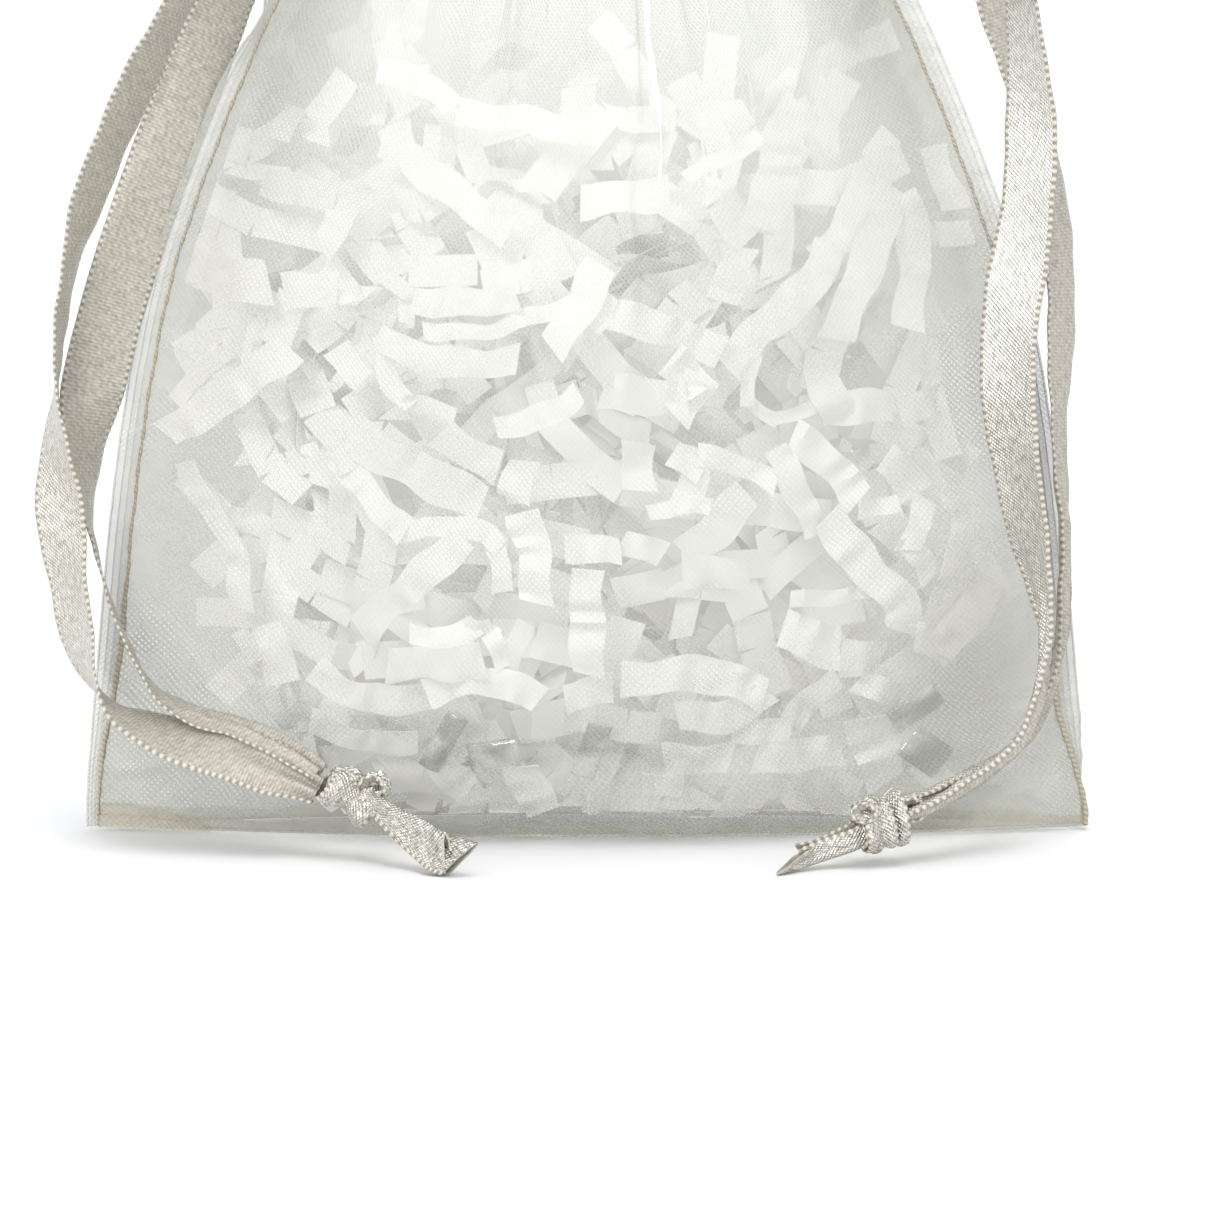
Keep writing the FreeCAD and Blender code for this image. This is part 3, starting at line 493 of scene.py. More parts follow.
# ------------------------------------------------------------------ cloth simulation of the two body panels
def simulate(side, cols=101, rows=104):
    """The sheet is held at its seams, bottom and neck, is a little too large for its frame, and is pushed out by the filling; the movement it makes is returned."""
    u, z = np.meshgrid(even(cols), np.linspace(0.4, 103.3, rows))
    P = cloth_point(u, z, side)
    obj = build("sim", P.reshape(-1, 3), grid_faces(rows, cols))
    group = obj.vertex_groups.new(name="held")
    edge = (np.abs(u) > 0.999) | (z < 1.0) | (z > 102.5)
    for i in np.flatnonzero(edge.ravel()):
        group.add([int(i)], 1.0, "REPLACE")
    mod = obj.modifiers.new("cloth", "CLOTH")
    s = mod.settings
    s.quality = 6
    s.mass = 0.05
    s.tension_stiffness = 12
    s.compression_stiffness = 12
    s.shear_stiffness = 3
    s.bending_stiffness = 0.02
    s.tension_damping = 3
    s.compression_damping = 3
    s.shear_damping = 3
    s.bending_damping = 0.3
    s.air_damping = 2
    s.vertex_group_mass = "held"
    s.shrink_min = -0.035
    s.use_pressure = True
    s.uniform_pressure_force = 0.6 * (1 if side < 0 else -1)
    s.effector_weights.gravity = 0.15
    mod.collision_settings.use_collision = False
    mod.collision_settings.use_self_collision = False
    mod.point_cache.frame_start = 1
    mod.point_cache.frame_end = 40
    for f in range(1, 19):
        scene.frame_set(f)
    dg = bpy.context.evaluated_depsgraph_get()
    e = obj.evaluated_get(dg)
    co = np.zeros(len(e.data.vertices) * 3, np.float32)
    e.data.vertices.foreach_get("co", co)
    moved = co.reshape(rows, cols, 3) / MM - P
    scene.frame_set(1)
    bpy.data.objects.remove(obj)
    size = np.linalg.norm(moved, axis=-1, keepdims=True)
    print("simulated", side, "largest move mm", float(size.max()), "mean", float(size.mean()))
    cap = 2.4
    return moved * np.where(size > cap, cap / np.maximum(size, 1e-9), 1.0)


def resample(A, n):
    """Catmull-Rom along the first axis."""
    m = len(A)
    t = np.linspace(0, m - 1, n)
    i = np.clip(t.astype(int), 0, m - 2)
    f = (t - i).reshape((-1,) + (1,) * (A.ndim - 1))
    p0, p1, p2, p3 = A[np.maximum(i - 1, 0)], A[i], A[i + 1], A[np.minimum(i + 2, m - 1)]
    return 0.5 * (2 * p1 + (p2 - p0) * f + (2 * p0 - 5 * p1 + 4 * p2 - p3) * f * f + (3 * p1 - p0 - 3 * p2 + p3) * f ** 3)


moves = {}
for side in (-1, 1):
    moves[side] = simulate(side)

# ------------------------------------------------------------------ body panels
PC, PR = 201, 206
panels = {}
for side, name in ((-1, "front_cloth"), (1, "back_cloth")):
    u, z = np.meshgrid(even(PC), np.linspace(0.4, 103.3, PR))
    P = cloth_point(u, z, side)
    if side in moves:
        D = resample(moves[side], PR)
        D = resample(D.transpose(1, 0, 2), PC).transpose(1, 0, 2)
        P = P + D
    # the cloth lies on the filling, never inside it
    rest = (room(P[..., 0], P[..., 2]) + 0.3) * smooth((1 - np.abs(u)) / 0.08) * (1 - smooth((P[..., 2] - 86) / 10))
    over = side * P[..., 1] - rest
    P[..., 1] = side * np.maximum(rest + 0.35 * np.logaddexp(0.0, over / 0.35), 0.02) if side in moves else side * np.maximum(side * P[..., 1], np.maximum(rest, 0.02))
    parts = Parts()
    parts.grid(P, cloth_uv(u, z), flip=side > 0)
    panels[side] = P
    if side < 0:
        # the deep pleat right of the middle stands up as a narrow doubled ridge; it and three smaller ridges use the
        # near-white copy of the organza as a painted highlight
        for u0, z0, z1, wide in ((0.235, 63.5, 101.0, 0.42), (-0.30, 77.0, 101.0, 0.22), (0.43, 75.0, 101.0, 0.2), (-0.62, 79.0, 101.0, 0.2)):
            zz = np.linspace(z0, z1, 70)
            uc = u0 + 0.0009 * (zz - 83) * np.sign(u0) + 0.006 * np.sin(zz * 0.45)
            ww = wide * smooth((zz - z0) / 10) * (0.75 + 0.25 * np.sin(zz * 0.6)) / half(zz)
            rows = []
            for k, lift in ((-1, 0.05), (-0.5, 0.22), (0, 0.34), (0.5, 0.22), (1, 0.05)):
                ci = (uc + k * ww + 1) / 2 * (PC - 1)
                ri = (zz - 0.4) / 102.9 * (PR - 1)
                c0, r0 = np.clip(ci.astype(int), 0, PC - 2), np.clip(ri.astype(int), 0, PR - 2)
                cf, rf = (ci - c0)[:, None], (ri - r0)[:, None]
                Q = (P[r0, c0] * (1 - cf) + P[r0, c0 + 1] * cf) * (1 - rf) + (P[r0 + 1, c0] * (1 - cf) + P[r0 + 1, c0 + 1] * cf) * rf
                Q[:, 1] -= lift
                rows.append(Q)
            R = np.stack(rows, 1)
            parts.grid(R, np.stack([R[..., 0], R[..., 2]], -1), mat=1)
    piece = parts.object(name, [organza_mat, pleat_painted_highlight_mat])
    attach(piece, "pouch")
    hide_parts("front_panel" if side < 0 else "back_panel")
    piece.visible_shadow = False

# the turned-under bottom: a lens of doubled cloth, with the fold's raw edges showing inside the front
u, q = np.meshgrid(even(161), np.linspace(-1, 1, 25))
lim = cloth_point(u[0], 0.4, 1)
xs = np.broadcast_to(lim[:, 0], u.shape)
ys = q * np.broadcast_to(np.abs(lim[:, 1]), u.shape)
zs = 0.35 + 0.22 * np.sin(xs * 0.55 + 1.0) * (1 - q ** 2) * 0.6 + 0.12 * np.sin(xs * 1.7 + ys * 1.1) * (1 - q ** 2)
parts = Parts()
parts.grid(np.stack([xs, ys, zs], -1), np.stack([xs, ys], -1), flip=True)
for side in (-1, 1):  # seam allowance standing inside, 2.6 mm high, with a soft upper edge
    uu, hh = np.meshgrid(even(161), np.linspace(0, 1, 7))
    base = cloth_point(uu, 0.5 + hh * (1.1 + 0.2 * np.sin(uu * 31) + 0.9 * smooth((-uu - 0.75) / 0.2)), side, out=0.0)
    base[..., 1] -= side * (0.28 + 0.25 * hh)
    base[..., 1] = np.where(side * base[..., 1] < 0.03, side * 0.03, base[..., 1])
    parts.grid(base, np.stack([base[..., 0], base[..., 2] * 1.0], -1), flip=side > 0, mat=1)
    hem = cloth_point(even(161), 0.55, side, out=0.1)
    tube(parts, hem, 0.16 + 0.03 * np.sin(np.arange(161) * 1.3), 6)
uu, hh = np.meshgrid(np.linspace(-0.999, -0.77, 40), np.linspace(0, 1, 8))
top = 2.3 * (1 - smooth((uu + 0.93) / 0.2) * 0.62) * (1 - smooth((uu + 0.80) / 0.03) * 0.5)
for lift in (0.22, 0.40):
    F = cloth_point(uu, 0.25 + hh * top * (1.0 if lift < 0.3 else 0.55), -1, out=lift)
    parts.grid(F, np.stack([F[..., 0], F[..., 2]], -1), mat=1)
    tube(parts, F[-1], 0.09, 6, mat=1)
piece = parts.object("bottom_seam", [seam_mat, hem_mat])
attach(piece, "pouch"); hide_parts("bottom_fold")
piece.visible_shadow = False

# ------------------------------------------------------------------ side seams: the allowance is folded twice outside the stitch line
for sign, name in ((-1, "left"), (1, "right")):
    right = sign > 0
    z = np.linspace(0.3, 103.2, 260)
    w = np.where(z < 999, half(z) - (half(z) - seam_width(z, right)), 0.0)
    w0 = SEAM * (1 - smooth((z - 92.0) / 10.0) * 0.8)  # the allowance keeps its width on the right
    w0 = w0 if right else w0 * (1 - 0.5 * smooth((20.0 - z) / 16.0))
    x0 = half(z) - seam_width(z, right)
    turn = (np.pi * 0.52) * (1 - smooth((z - 2.0) / 14.0)) if right else 0.10 * np.sin(z * 0.19)
    turn = turn + 0.22 * np.sin(z * 0.11 + sign) * smooth((z - 60) / 20)
    if not right:
        turn = turn + 0.9 * np.exp(-((z - 80.5) / 3.6) ** 2)
    ruffle = 0.16 * np.sin(z * 1.35 + 2 * np.sin(z * 0.21)) + 0.09 * np.sin(z * 3.1 + 1)
    parts = Parts()

    def strip(a, b, ya, yb, n=7, extra=0.0):
        t = np.linspace(0, 1, n)[None, :]
        r = (a + (b - a) * t) * w0[:, None]
        yy = ya + (yb - ya) * t + ruffle[:, None] * (r / SEAM)
        c, s = np.cos(turn)[:, None] if np.ndim(turn) else np.cos(turn), np.sin(turn)[:, None] if np.ndim(turn) else np.sin(turn)
        X = sign * (x0[:, None] + r * c - yy * s * 0.5)
        Y = r * s + yy * c
        Z = np.broadcast_to(z[:, None], X.shape) + 0.0 * t
        return np.stack([X, Y, Z], -1), np.stack([np.broadcast_to(r * 1.0, X.shape), Z], -1)

    for a, b, ya, yb in ((-0.06, 1.0, -0.26, -0.10), (1.0, -0.06, 0.10, 0.26), (0.0, 0.66, -0.10, -0.05), (0.0, 0.36, 0.06, 0.04)):
        P, uv = strip(a, b, ya, yb)
        parts.grid(P, uv, flip=(a > b) == right)
    for r, rad in ((1.0, 0.15), (0.66, 0.09), (0.36, 0.08)):
        P, _ = strip(r, r, 0.0, 0.0, 2)
        tube(parts, P[:, 0], rad, 6)
    piece = parts.object(name + "_seam_allowance", [seam_mat])
    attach(piece, "pouch"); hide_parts(name + "_side_seam")
    piece.visible_shadow = False

    # the seam's stitches, front and back, lock stitch about 2 mm long; heavier where the seam starts at the bottom
    parts = Parts()
    zz = np.arange(0.5, 102.9, 0.22)
    x0 = half(zz) - seam_width(zz, right)
    heavy = smooth((zz - 3) / 4) * (1 - smooth((zz - 20) / 7)) if not right else 1 - smooth((zz - 16) / 8)
    dash = 0.5 + 0.5 * np.cos(zz * 2 * np.pi / 1.9)
    for face in (-1, 1):
        rad = 0.10 + 0.06 * dash + 0.14 * heavy
        P = np.stack([sign * (x0 - 0.02 + 0.05 * np.sin(zz * 0.9)), face * (0.26 + 0.10 * dash + 0.04 * heavy), zz], -1)
        tube(parts, P, rad, 7)
    piece = parts.object(name + "_seam_stitches", [thread_mat])
    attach(piece, "pouch"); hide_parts(name + "_seam_thread")

# ------------------------------------------------------------------ casing, its stitching, header and hems
CU = 321
for side, name in ((-1, "front"), (1, "back")):
    u, z = np.meshgrid(np.linspace(-1, 1, CU), np.linspace(103.3, 112.9, 34))
    P = cloth_point(u, z, side)
    parts = Parts()
    parts.grid(P, cloth_uv(u, z), flip=side > 0)
    # its side openings are turned in
    for end in (0, -1):
        t = np.linspace(0, 1, 6)[None, :]
        E = P[:, end][:, None, :] * np.ones((1, 6, 1))
        E[..., 0] += -np.sign(E[..., 0]) * 1.6 * t
        E[..., 1] += side * (0.9 * np.sin(t * np.pi / 2) + 0.0)
        parts.grid(E, cloth_uv(np.broadcast_to(t, E.shape[:2]) * 0.03, E[..., 2]), flip=(side > 0) != (end == 0))
    piece = parts.object("casing_cloth_" + name, [seam_mat])
    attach(piece, "pouch"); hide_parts("casing_" + name)
    piece.visible_shadow = False

    parts = Parts()
    for row in (104.9, 110.7):
        uu = np.linspace(-0.97, 0.97, 1200)
        L = cloth_point(uu, row, side, out=0.18)
        s = np.concatenate([[0], np.cumsum(np.linalg.norm(np.diff(L, axis=0), axis=1))])
        at = 0.2
        while at + 1.5 < s[-1]:
            ss = np.linspace(at, at + 1.45, 8)
            Q = np.stack([np.interp(ss, s, L[:, k]) for k in range(3)], -1)
            Q[:, 1] -= side * 0.22 * (1 - np.sin(np.linspace(0, np.pi, 8)))
            tube(parts, Q, 0.13 * np.sin(np.linspace(0.35, np.pi - 0.35, 8)) + 0.02, 6)
            at += 1.95
    piece = parts.object("casing_stitches_" + name, [thread_mat])
    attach(piece, "pouch"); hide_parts("casing_stitching_" + name)

    u, z = np.meshgrid(np.linspace(-1, 1, CU), np.linspace(112.9, 138.6, 60))
    parts = Parts()
    parts.grid(cloth_point(u, z, side), cloth_uv(u, z), flip=side > 0)
    piece = parts.object("ruffle_" + name, [organza_mat])
    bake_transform(piece)
    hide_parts("header_" + name)
    piece.visible_shadow = False

    # hem: cloth turned over twice, 2.5 mm deep
    uu = np.linspace(-1, 1, CU)
    parts = Parts()
    loop = []
    for out, zh in ((0.16, 138.3), (0.20, 139.2), (0.20, 140.2), (0.16, 140.8), (0.0, 141.0), (-0.16, 140.8), (-0.20, 140.2), (-0.20, 139.2), (-0.16, 138.3)):
        Q = cloth_point(uu, zh, side, out=out)
        loop.append(Q)
    Q = np.array(loop)
    Q[..., 1] = np.where(side * Q[..., 1] < 0.03, side * 0.03, Q[..., 1])
    uv = cloth_uv(np.broadcast_to(uu, Q.shape[:2]), np.array([0, 0.9, 1.9, 2.5, 2.7, 2.9, 3.5, 4.5, 5.4])[:, None])
    parts.grid(Q, uv, flip=side > 0)
    tube(parts, cloth_point(np.linspace(-1, 1, 700), 138.5, side, out=0.22), 0.10, 6, mat=1)
    piece = parts.object("ruffle_hem_" + name, [seam_mat, thread_mat])
    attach(piece, "header"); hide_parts("header_hem_" + name)
    piece.visible_shadow = False


# ------------------------------------------------------------------ ribbon
WIDTH = 6.3
STATION = np.array((2.05, -496.3, 101.1))  # the turns of the hanging ribbons are measured from here


def spline(route, step):
    """The route's own smooth line, read back evenly spaced, in millimetres."""
    curve = bpy.data.curves.new("route", "CURVE")
    curve.dimensions = "3D"
    curve.resolution_u = 24
    sp = curve.splines.new("NURBS")
    sp.points.add(len(route) - 1)
    for point, (x, y, z) in zip(sp.points, route):
        point.co = (x * MM, y * MM, z * MM, 1.0)
    sp.order_u = 3
    sp.use_endpoint_u = True
    holder = bpy.data.objects.new("route", curve)
    mesh = bpy.data.meshes.new_from_object(holder)
    P = np.array([v.co for v in mesh.vertices], float) / MM
    bpy.data.objects.remove(holder)
    bpy.data.curves.remove(curve)
    s = np.concatenate([[0], np.cumsum(np.linalg.norm(np.diff(P, axis=0), axis=1))])
    n = int(round(s[-1] / step)) + 1
    t = np.linspace(0, s[-1], n)
    return np.stack([np.interp(t, s, P[:, k]) for k in range(3)], -1), t


def keyed(s, keys):
    return pchip([k[0] for k in keys], [k[1] for k in keys])(s)


def band(parts, P, s, turn, narrow, count=4, mode="zigzag", width=WIDTH, thick=0.22, cut=0.0, ref=(0.0, -1.0, 0.0), seed=0, across=17, rough=0.10):
    """A ribbon along P. turn is the angle of its face, narrow how far it is bunched up (1 is flat)."""
    T = tangents(P)
    for _ in range(3):
        T[1:-1] = T[:-2] + T[1:-1] * 2 + T[2:]
        T /= np.linalg.norm(T, axis=1, keepdims=True)
    ref = np.broadcast_to(np.asarray(ref, float), T.shape)
    n0 = ref - T * (ref * T).sum(1, keepdims=True)
    n0 /= np.linalg.norm(n0, axis=1, keepdims=True)
    w0 = np.cross(T, n0)
    a = np.radians(turn)[:, None]
    W = w0 * np.cos(a) + n0 * np.sin(a)
    N = n0 * np.cos(a) - w0 * np.sin(a)
    j = np.linspace(-1, 1, across)
    j = np.sign(j) * np.abs(j) ** 0.92
    k = np.clip(narrow, 0.05, 1.0)[:, None]
    S = s[:, None]
    bead = 0.5 + 0.5 * np.cos(2 * np.pi * S / 0.75)
    rim = np.abs(j)[None, :] > 0.999
    if mode == "double":
        x = width / 2 * (np.abs(j)[None, :] - 0.5) * np.ones_like(k)
        h = 0.42 * np.tanh(j / 0.16)[None, :] * np.ones_like(k) + 0.25 * np.sin(S * 0.9 + j[None, :] * 2 + seed) * np.abs(j)[None, :]
        x = x * k
        h = h * (1.0 + 0.8 * (1 - k))
        x = x + np.where(rim, 0.07 * bead, 0.0)
    else:
        x = k * j[None, :] * width / 2
        ph = (j[None, :] * 0.5 + 0.5) * count
        tri = np.arcsin(0.96 * np.sin(np.pi * (ph + 0.12 * np.sin(S * 0.33 + seed)))) * 2 / np.pi
        h = np.sqrt(np.maximum(1 - k * k, 0)) * width / count * 0.5 * tri
        x = x + np.where(rim, np.sign(j)[None, :] * 0.08 * bead, 0.0)
        h = h + rough * (np.sin(S * 0.52 + 1.7 * j[None, :] + seed) + 0.5 * np.sin(S * 1.23 - 2.3 * j[None, :] + 2 * seed)) + 0.22 * (j[None, :] ** 2 - 0.4) * k
    tt = thick * 0.5 * np.where(rim, 0.8 + 0.35 * bead, np.where(np.abs(j)[None, :] > 0.90, 1.15, 1.0))
    slope_h = np.gradient(h, axis=1)
    slope_x = np.gradient(x, axis=1)
    ln = np.sqrt(slope_h ** 2 + slope_x ** 2) + 1e-9
    nx, nh = -slope_h / ln, slope_x / ln
    if cut:
        ramp = smooth((s - (s[-1] - 4.0)) / 4.0)[:, None]
        slide = cut * (x / (width / 2)) * ramp
    else:
        slide = 0.0
    C = P[:, None, :] + T[:, None, :] * (slide + np.zeros_like(x))[..., None]
    top = C + W[:, None, :] * (x + nx * tt)[..., None] + N[:, None, :] * (h + nh * tt)[..., None]
    low = C + W[:, None, :] * (x - nx * tt)[..., None] + N[:, None, :] * (h - nh * tt)[..., None]
    ring = np.concatenate([top, low[:, ::-1]], axis=1)
    uj = j * width / 2
    ua = np.concatenate([uj, uj[::-1]])
    uv = np.stack(np.broadcast_arrays(ua[None, :], S), -1)
    m = across
    col_mat = []
    for c in range(2 * m):
        if c < m - 1:
            col_mat.append(2 if c in (0, m - 2) else 0)
        elif c == m - 1 or c == 2 * m - 1:
            col_mat.append(2)
        else:
            col_mat.append(2 if c in (m, 2 * m - 2) else 1)
    mats = col_mat * (len(P) - 1)
    first = parts.grid(ring, uv, wrap=True, mat=mats)
    last = first + (len(P) - 1) * 2 * m
    for i in range(m - 1):
        parts.face((first + i + 1, first + i, first + 2 * m - 1 - i, first + 2 * m - 2 - i), 2)
        parts.face((last + i, last + i + 1, last + 2 * m - 2 - i, last + 2 * m - 1 - i), 2)


RIBBON_MATS = [satin_mat, reverse_mat, selvedge_mat]
KNOT_MATS = [crushed_mat, reverse_mat, selvedge_mat]

ROUTES = {
    "left_strand_front": [(-13.1, -3.4, 106.0), (-19.5, -3.6, 107.0), (-27.7, -4.0, 102.1), (-35.6, -4.4, 88.8), (-43.7, -4.8, 74.2), (-50.1, -5.4, 59.1), (-52.0, -6.5, 42.7), (-50.8, -7.8, 26.9), (-48.4, -9.6, 15.3), (-41.1, -11.8, 11.6), (-32.3, -14.0, 10.2), (-25.9, -15.0, 6.8)],
    "left_strand_back": [(-13.1, 3.4, 106.0), (-18.6, 3.3, 106.9), (-26.7, 2.6, 100.9), (-33.5, 1.2, 86.2), (-40.8, 0.2, 69.3), (-46.8, -1.2, 52.3), (-50.1, -3.0, 37.0), (-47.7, -5.0, 26.6), (-44.0, -7.0, 16.6), (-38.7, -9.2, 13.2), (-31.8, -11.5, 12.1), (-25.8, -14.3, 8.5)],
    "right_strand_front": [(13.1, -3.4, 110.0), (20.5, -3.7, 112.0), (32.0, -4.2, 108.0), (40.1, -4.8, 95.0), (42.6, -5.3, 80.0), (43.5, -6.0, 65.0), (40.4, -7.0, 48.5), (42.5, -7.4, 33.9), (45.4, -8.8, 21.5), (43.7, -11.4, 12.6), (38.3, -14.6, 7.5), (30.8, -17.3, 4.8)],
    "right_strand_back": [(13.1, 3.4, 110.0), (19.5, 3.3, 111.4), (29.8, 2.8, 108.1), (37.4, 2.0, 96.0), (39.7, 1.4, 81.9), (45.2, 0.4, 68.3), (47.0, -0.8, 54.4), (46.4, -2.6, 39.0), (47.5, -3.4, 25.8), (46.1, -6.2, 15.7), (41.8, -10.4, 8.7), (30.9, -16.0, 5.8)],
}
TURN = {
    "left_strand_front": [(0, 190), (15, 226), (37.8, 246), (45.5, 238), (56.5, 239), (61.5, 246), (65.9, 255), (72.5, 262), (78.6, 270), (82, 288.5), (85.3, 300.5), (87.6, 311), (91.1, 315.5), (93.8, 312), (98.7, 302), (101.6, 300), (104.1, 291), (107.2, 279), (108.5, 270), (112.9, 241), (117.6, 224), (122.8, 212), (127.6, 200), (133, 192)],
    "left_strand_back": [(0, 196), (16, 208), (35.2, 214), (45.9, 186), (55, 181), (61.9, 187), (69.9, 186), (75, 190), (77.2, 205), (80.5, 225), (83, 237), (86.1, 252), (89.8, 266), (92.5, 269), (101.9, 270), (104.7, 268), (107.5, 264), (109.8, 258), (114.2, 250), (119.2, 240), (123.5, 230), (127, 222)],
    "right_strand_front": [(0, 0), (14, -36), (30, -58), (46.7, -64), (52.1, -54), (57.7, -42), (63.3, -39), (68.7, -35), (74.4, -27), (81.1, -33), (85.2, -37), (88.3, -38), (94.2, -49), (97.4, -52), (102.3, -60), (108.6, -77), (114, -88), (120, -84), (126, -98), (133, -80)],
    "right_strand_back": [(0, 188), (14, 214), (30, 234), (44.7, 240), (54.8, 242), (64.2, 244), (76.2, 245), (79.2, 248), (85.5, 255), (91.8, 262), (96.9, 268), (103, 270), (112, 272), (118, 262), (125, 280), (133, 262)],
}
NARROW = {
    "left_strand_front": [(0, 0.36), (8, 0.62), (20, 1.0), (122, 1.0), (127, 0.9), (132.3, 0.42), (140, 0.4)],
    "left_strand_back": [(0, 0.36), (8, 0.62), (20, 1.0), (96, 1.0), (110, 0.9), (118, 0.7), (126.1, 0.36), (140, 0.3)],
    "right_strand_front": [(0, 0.36), (8, 0.62), (20, 1.0), (99, 1.0), (106, 0.85), (112, 0.55), (118, 0.40), (133, 0.32), (140, 0.3)],
    "right_strand_back": [(0, 0.36), (8, 0.62), (20, 1.0), (88, 0.95), (97, 0.7), (106, 0.45), (116, 0.36), (133, 0.32), (140, 0.3)],
}


def closed_path(points, step=0.2):
    P = np.array(points, float)
    s = np.concatenate([[0], np.cumsum(np.linalg.norm(np.diff(P, axis=0), axis=1))])
    n = int(s[-1] / step) + 1
    t = np.linspace(0, s[-1], n)
    return np.stack([np.interp(t, s, P[:, k]) for k in range(3)], -1), t


def curve_through(keys, n=90):
    """A smooth line through a few points."""
    K = np.array(keys, float)
    d = np.concatenate([[0], np.cumsum(np.linalg.norm(np.diff(K, axis=0), axis=1))])
    t = np.linspace(0, d[-1], n)
    i = np.clip(np.searchsorted(d, t, side="right") - 1, 0, len(d) - 2)
    f = ((t - d[i]) / (d[i + 1] - d[i]))[:, None]
    p0, p1, p2, p3 = K[np.maximum(i - 1, 0)], K[i], K[i + 1], K[np.minimum(i + 2, len(K) - 1)]
    return 0.5 * (2 * p1 + (p2 - p0) * f + (2 * p0 - 5 * p1 + 4 * p2 - p3) * f * f + (3 * p1 - p0 - 3 * p2 + p3) * f ** 3)


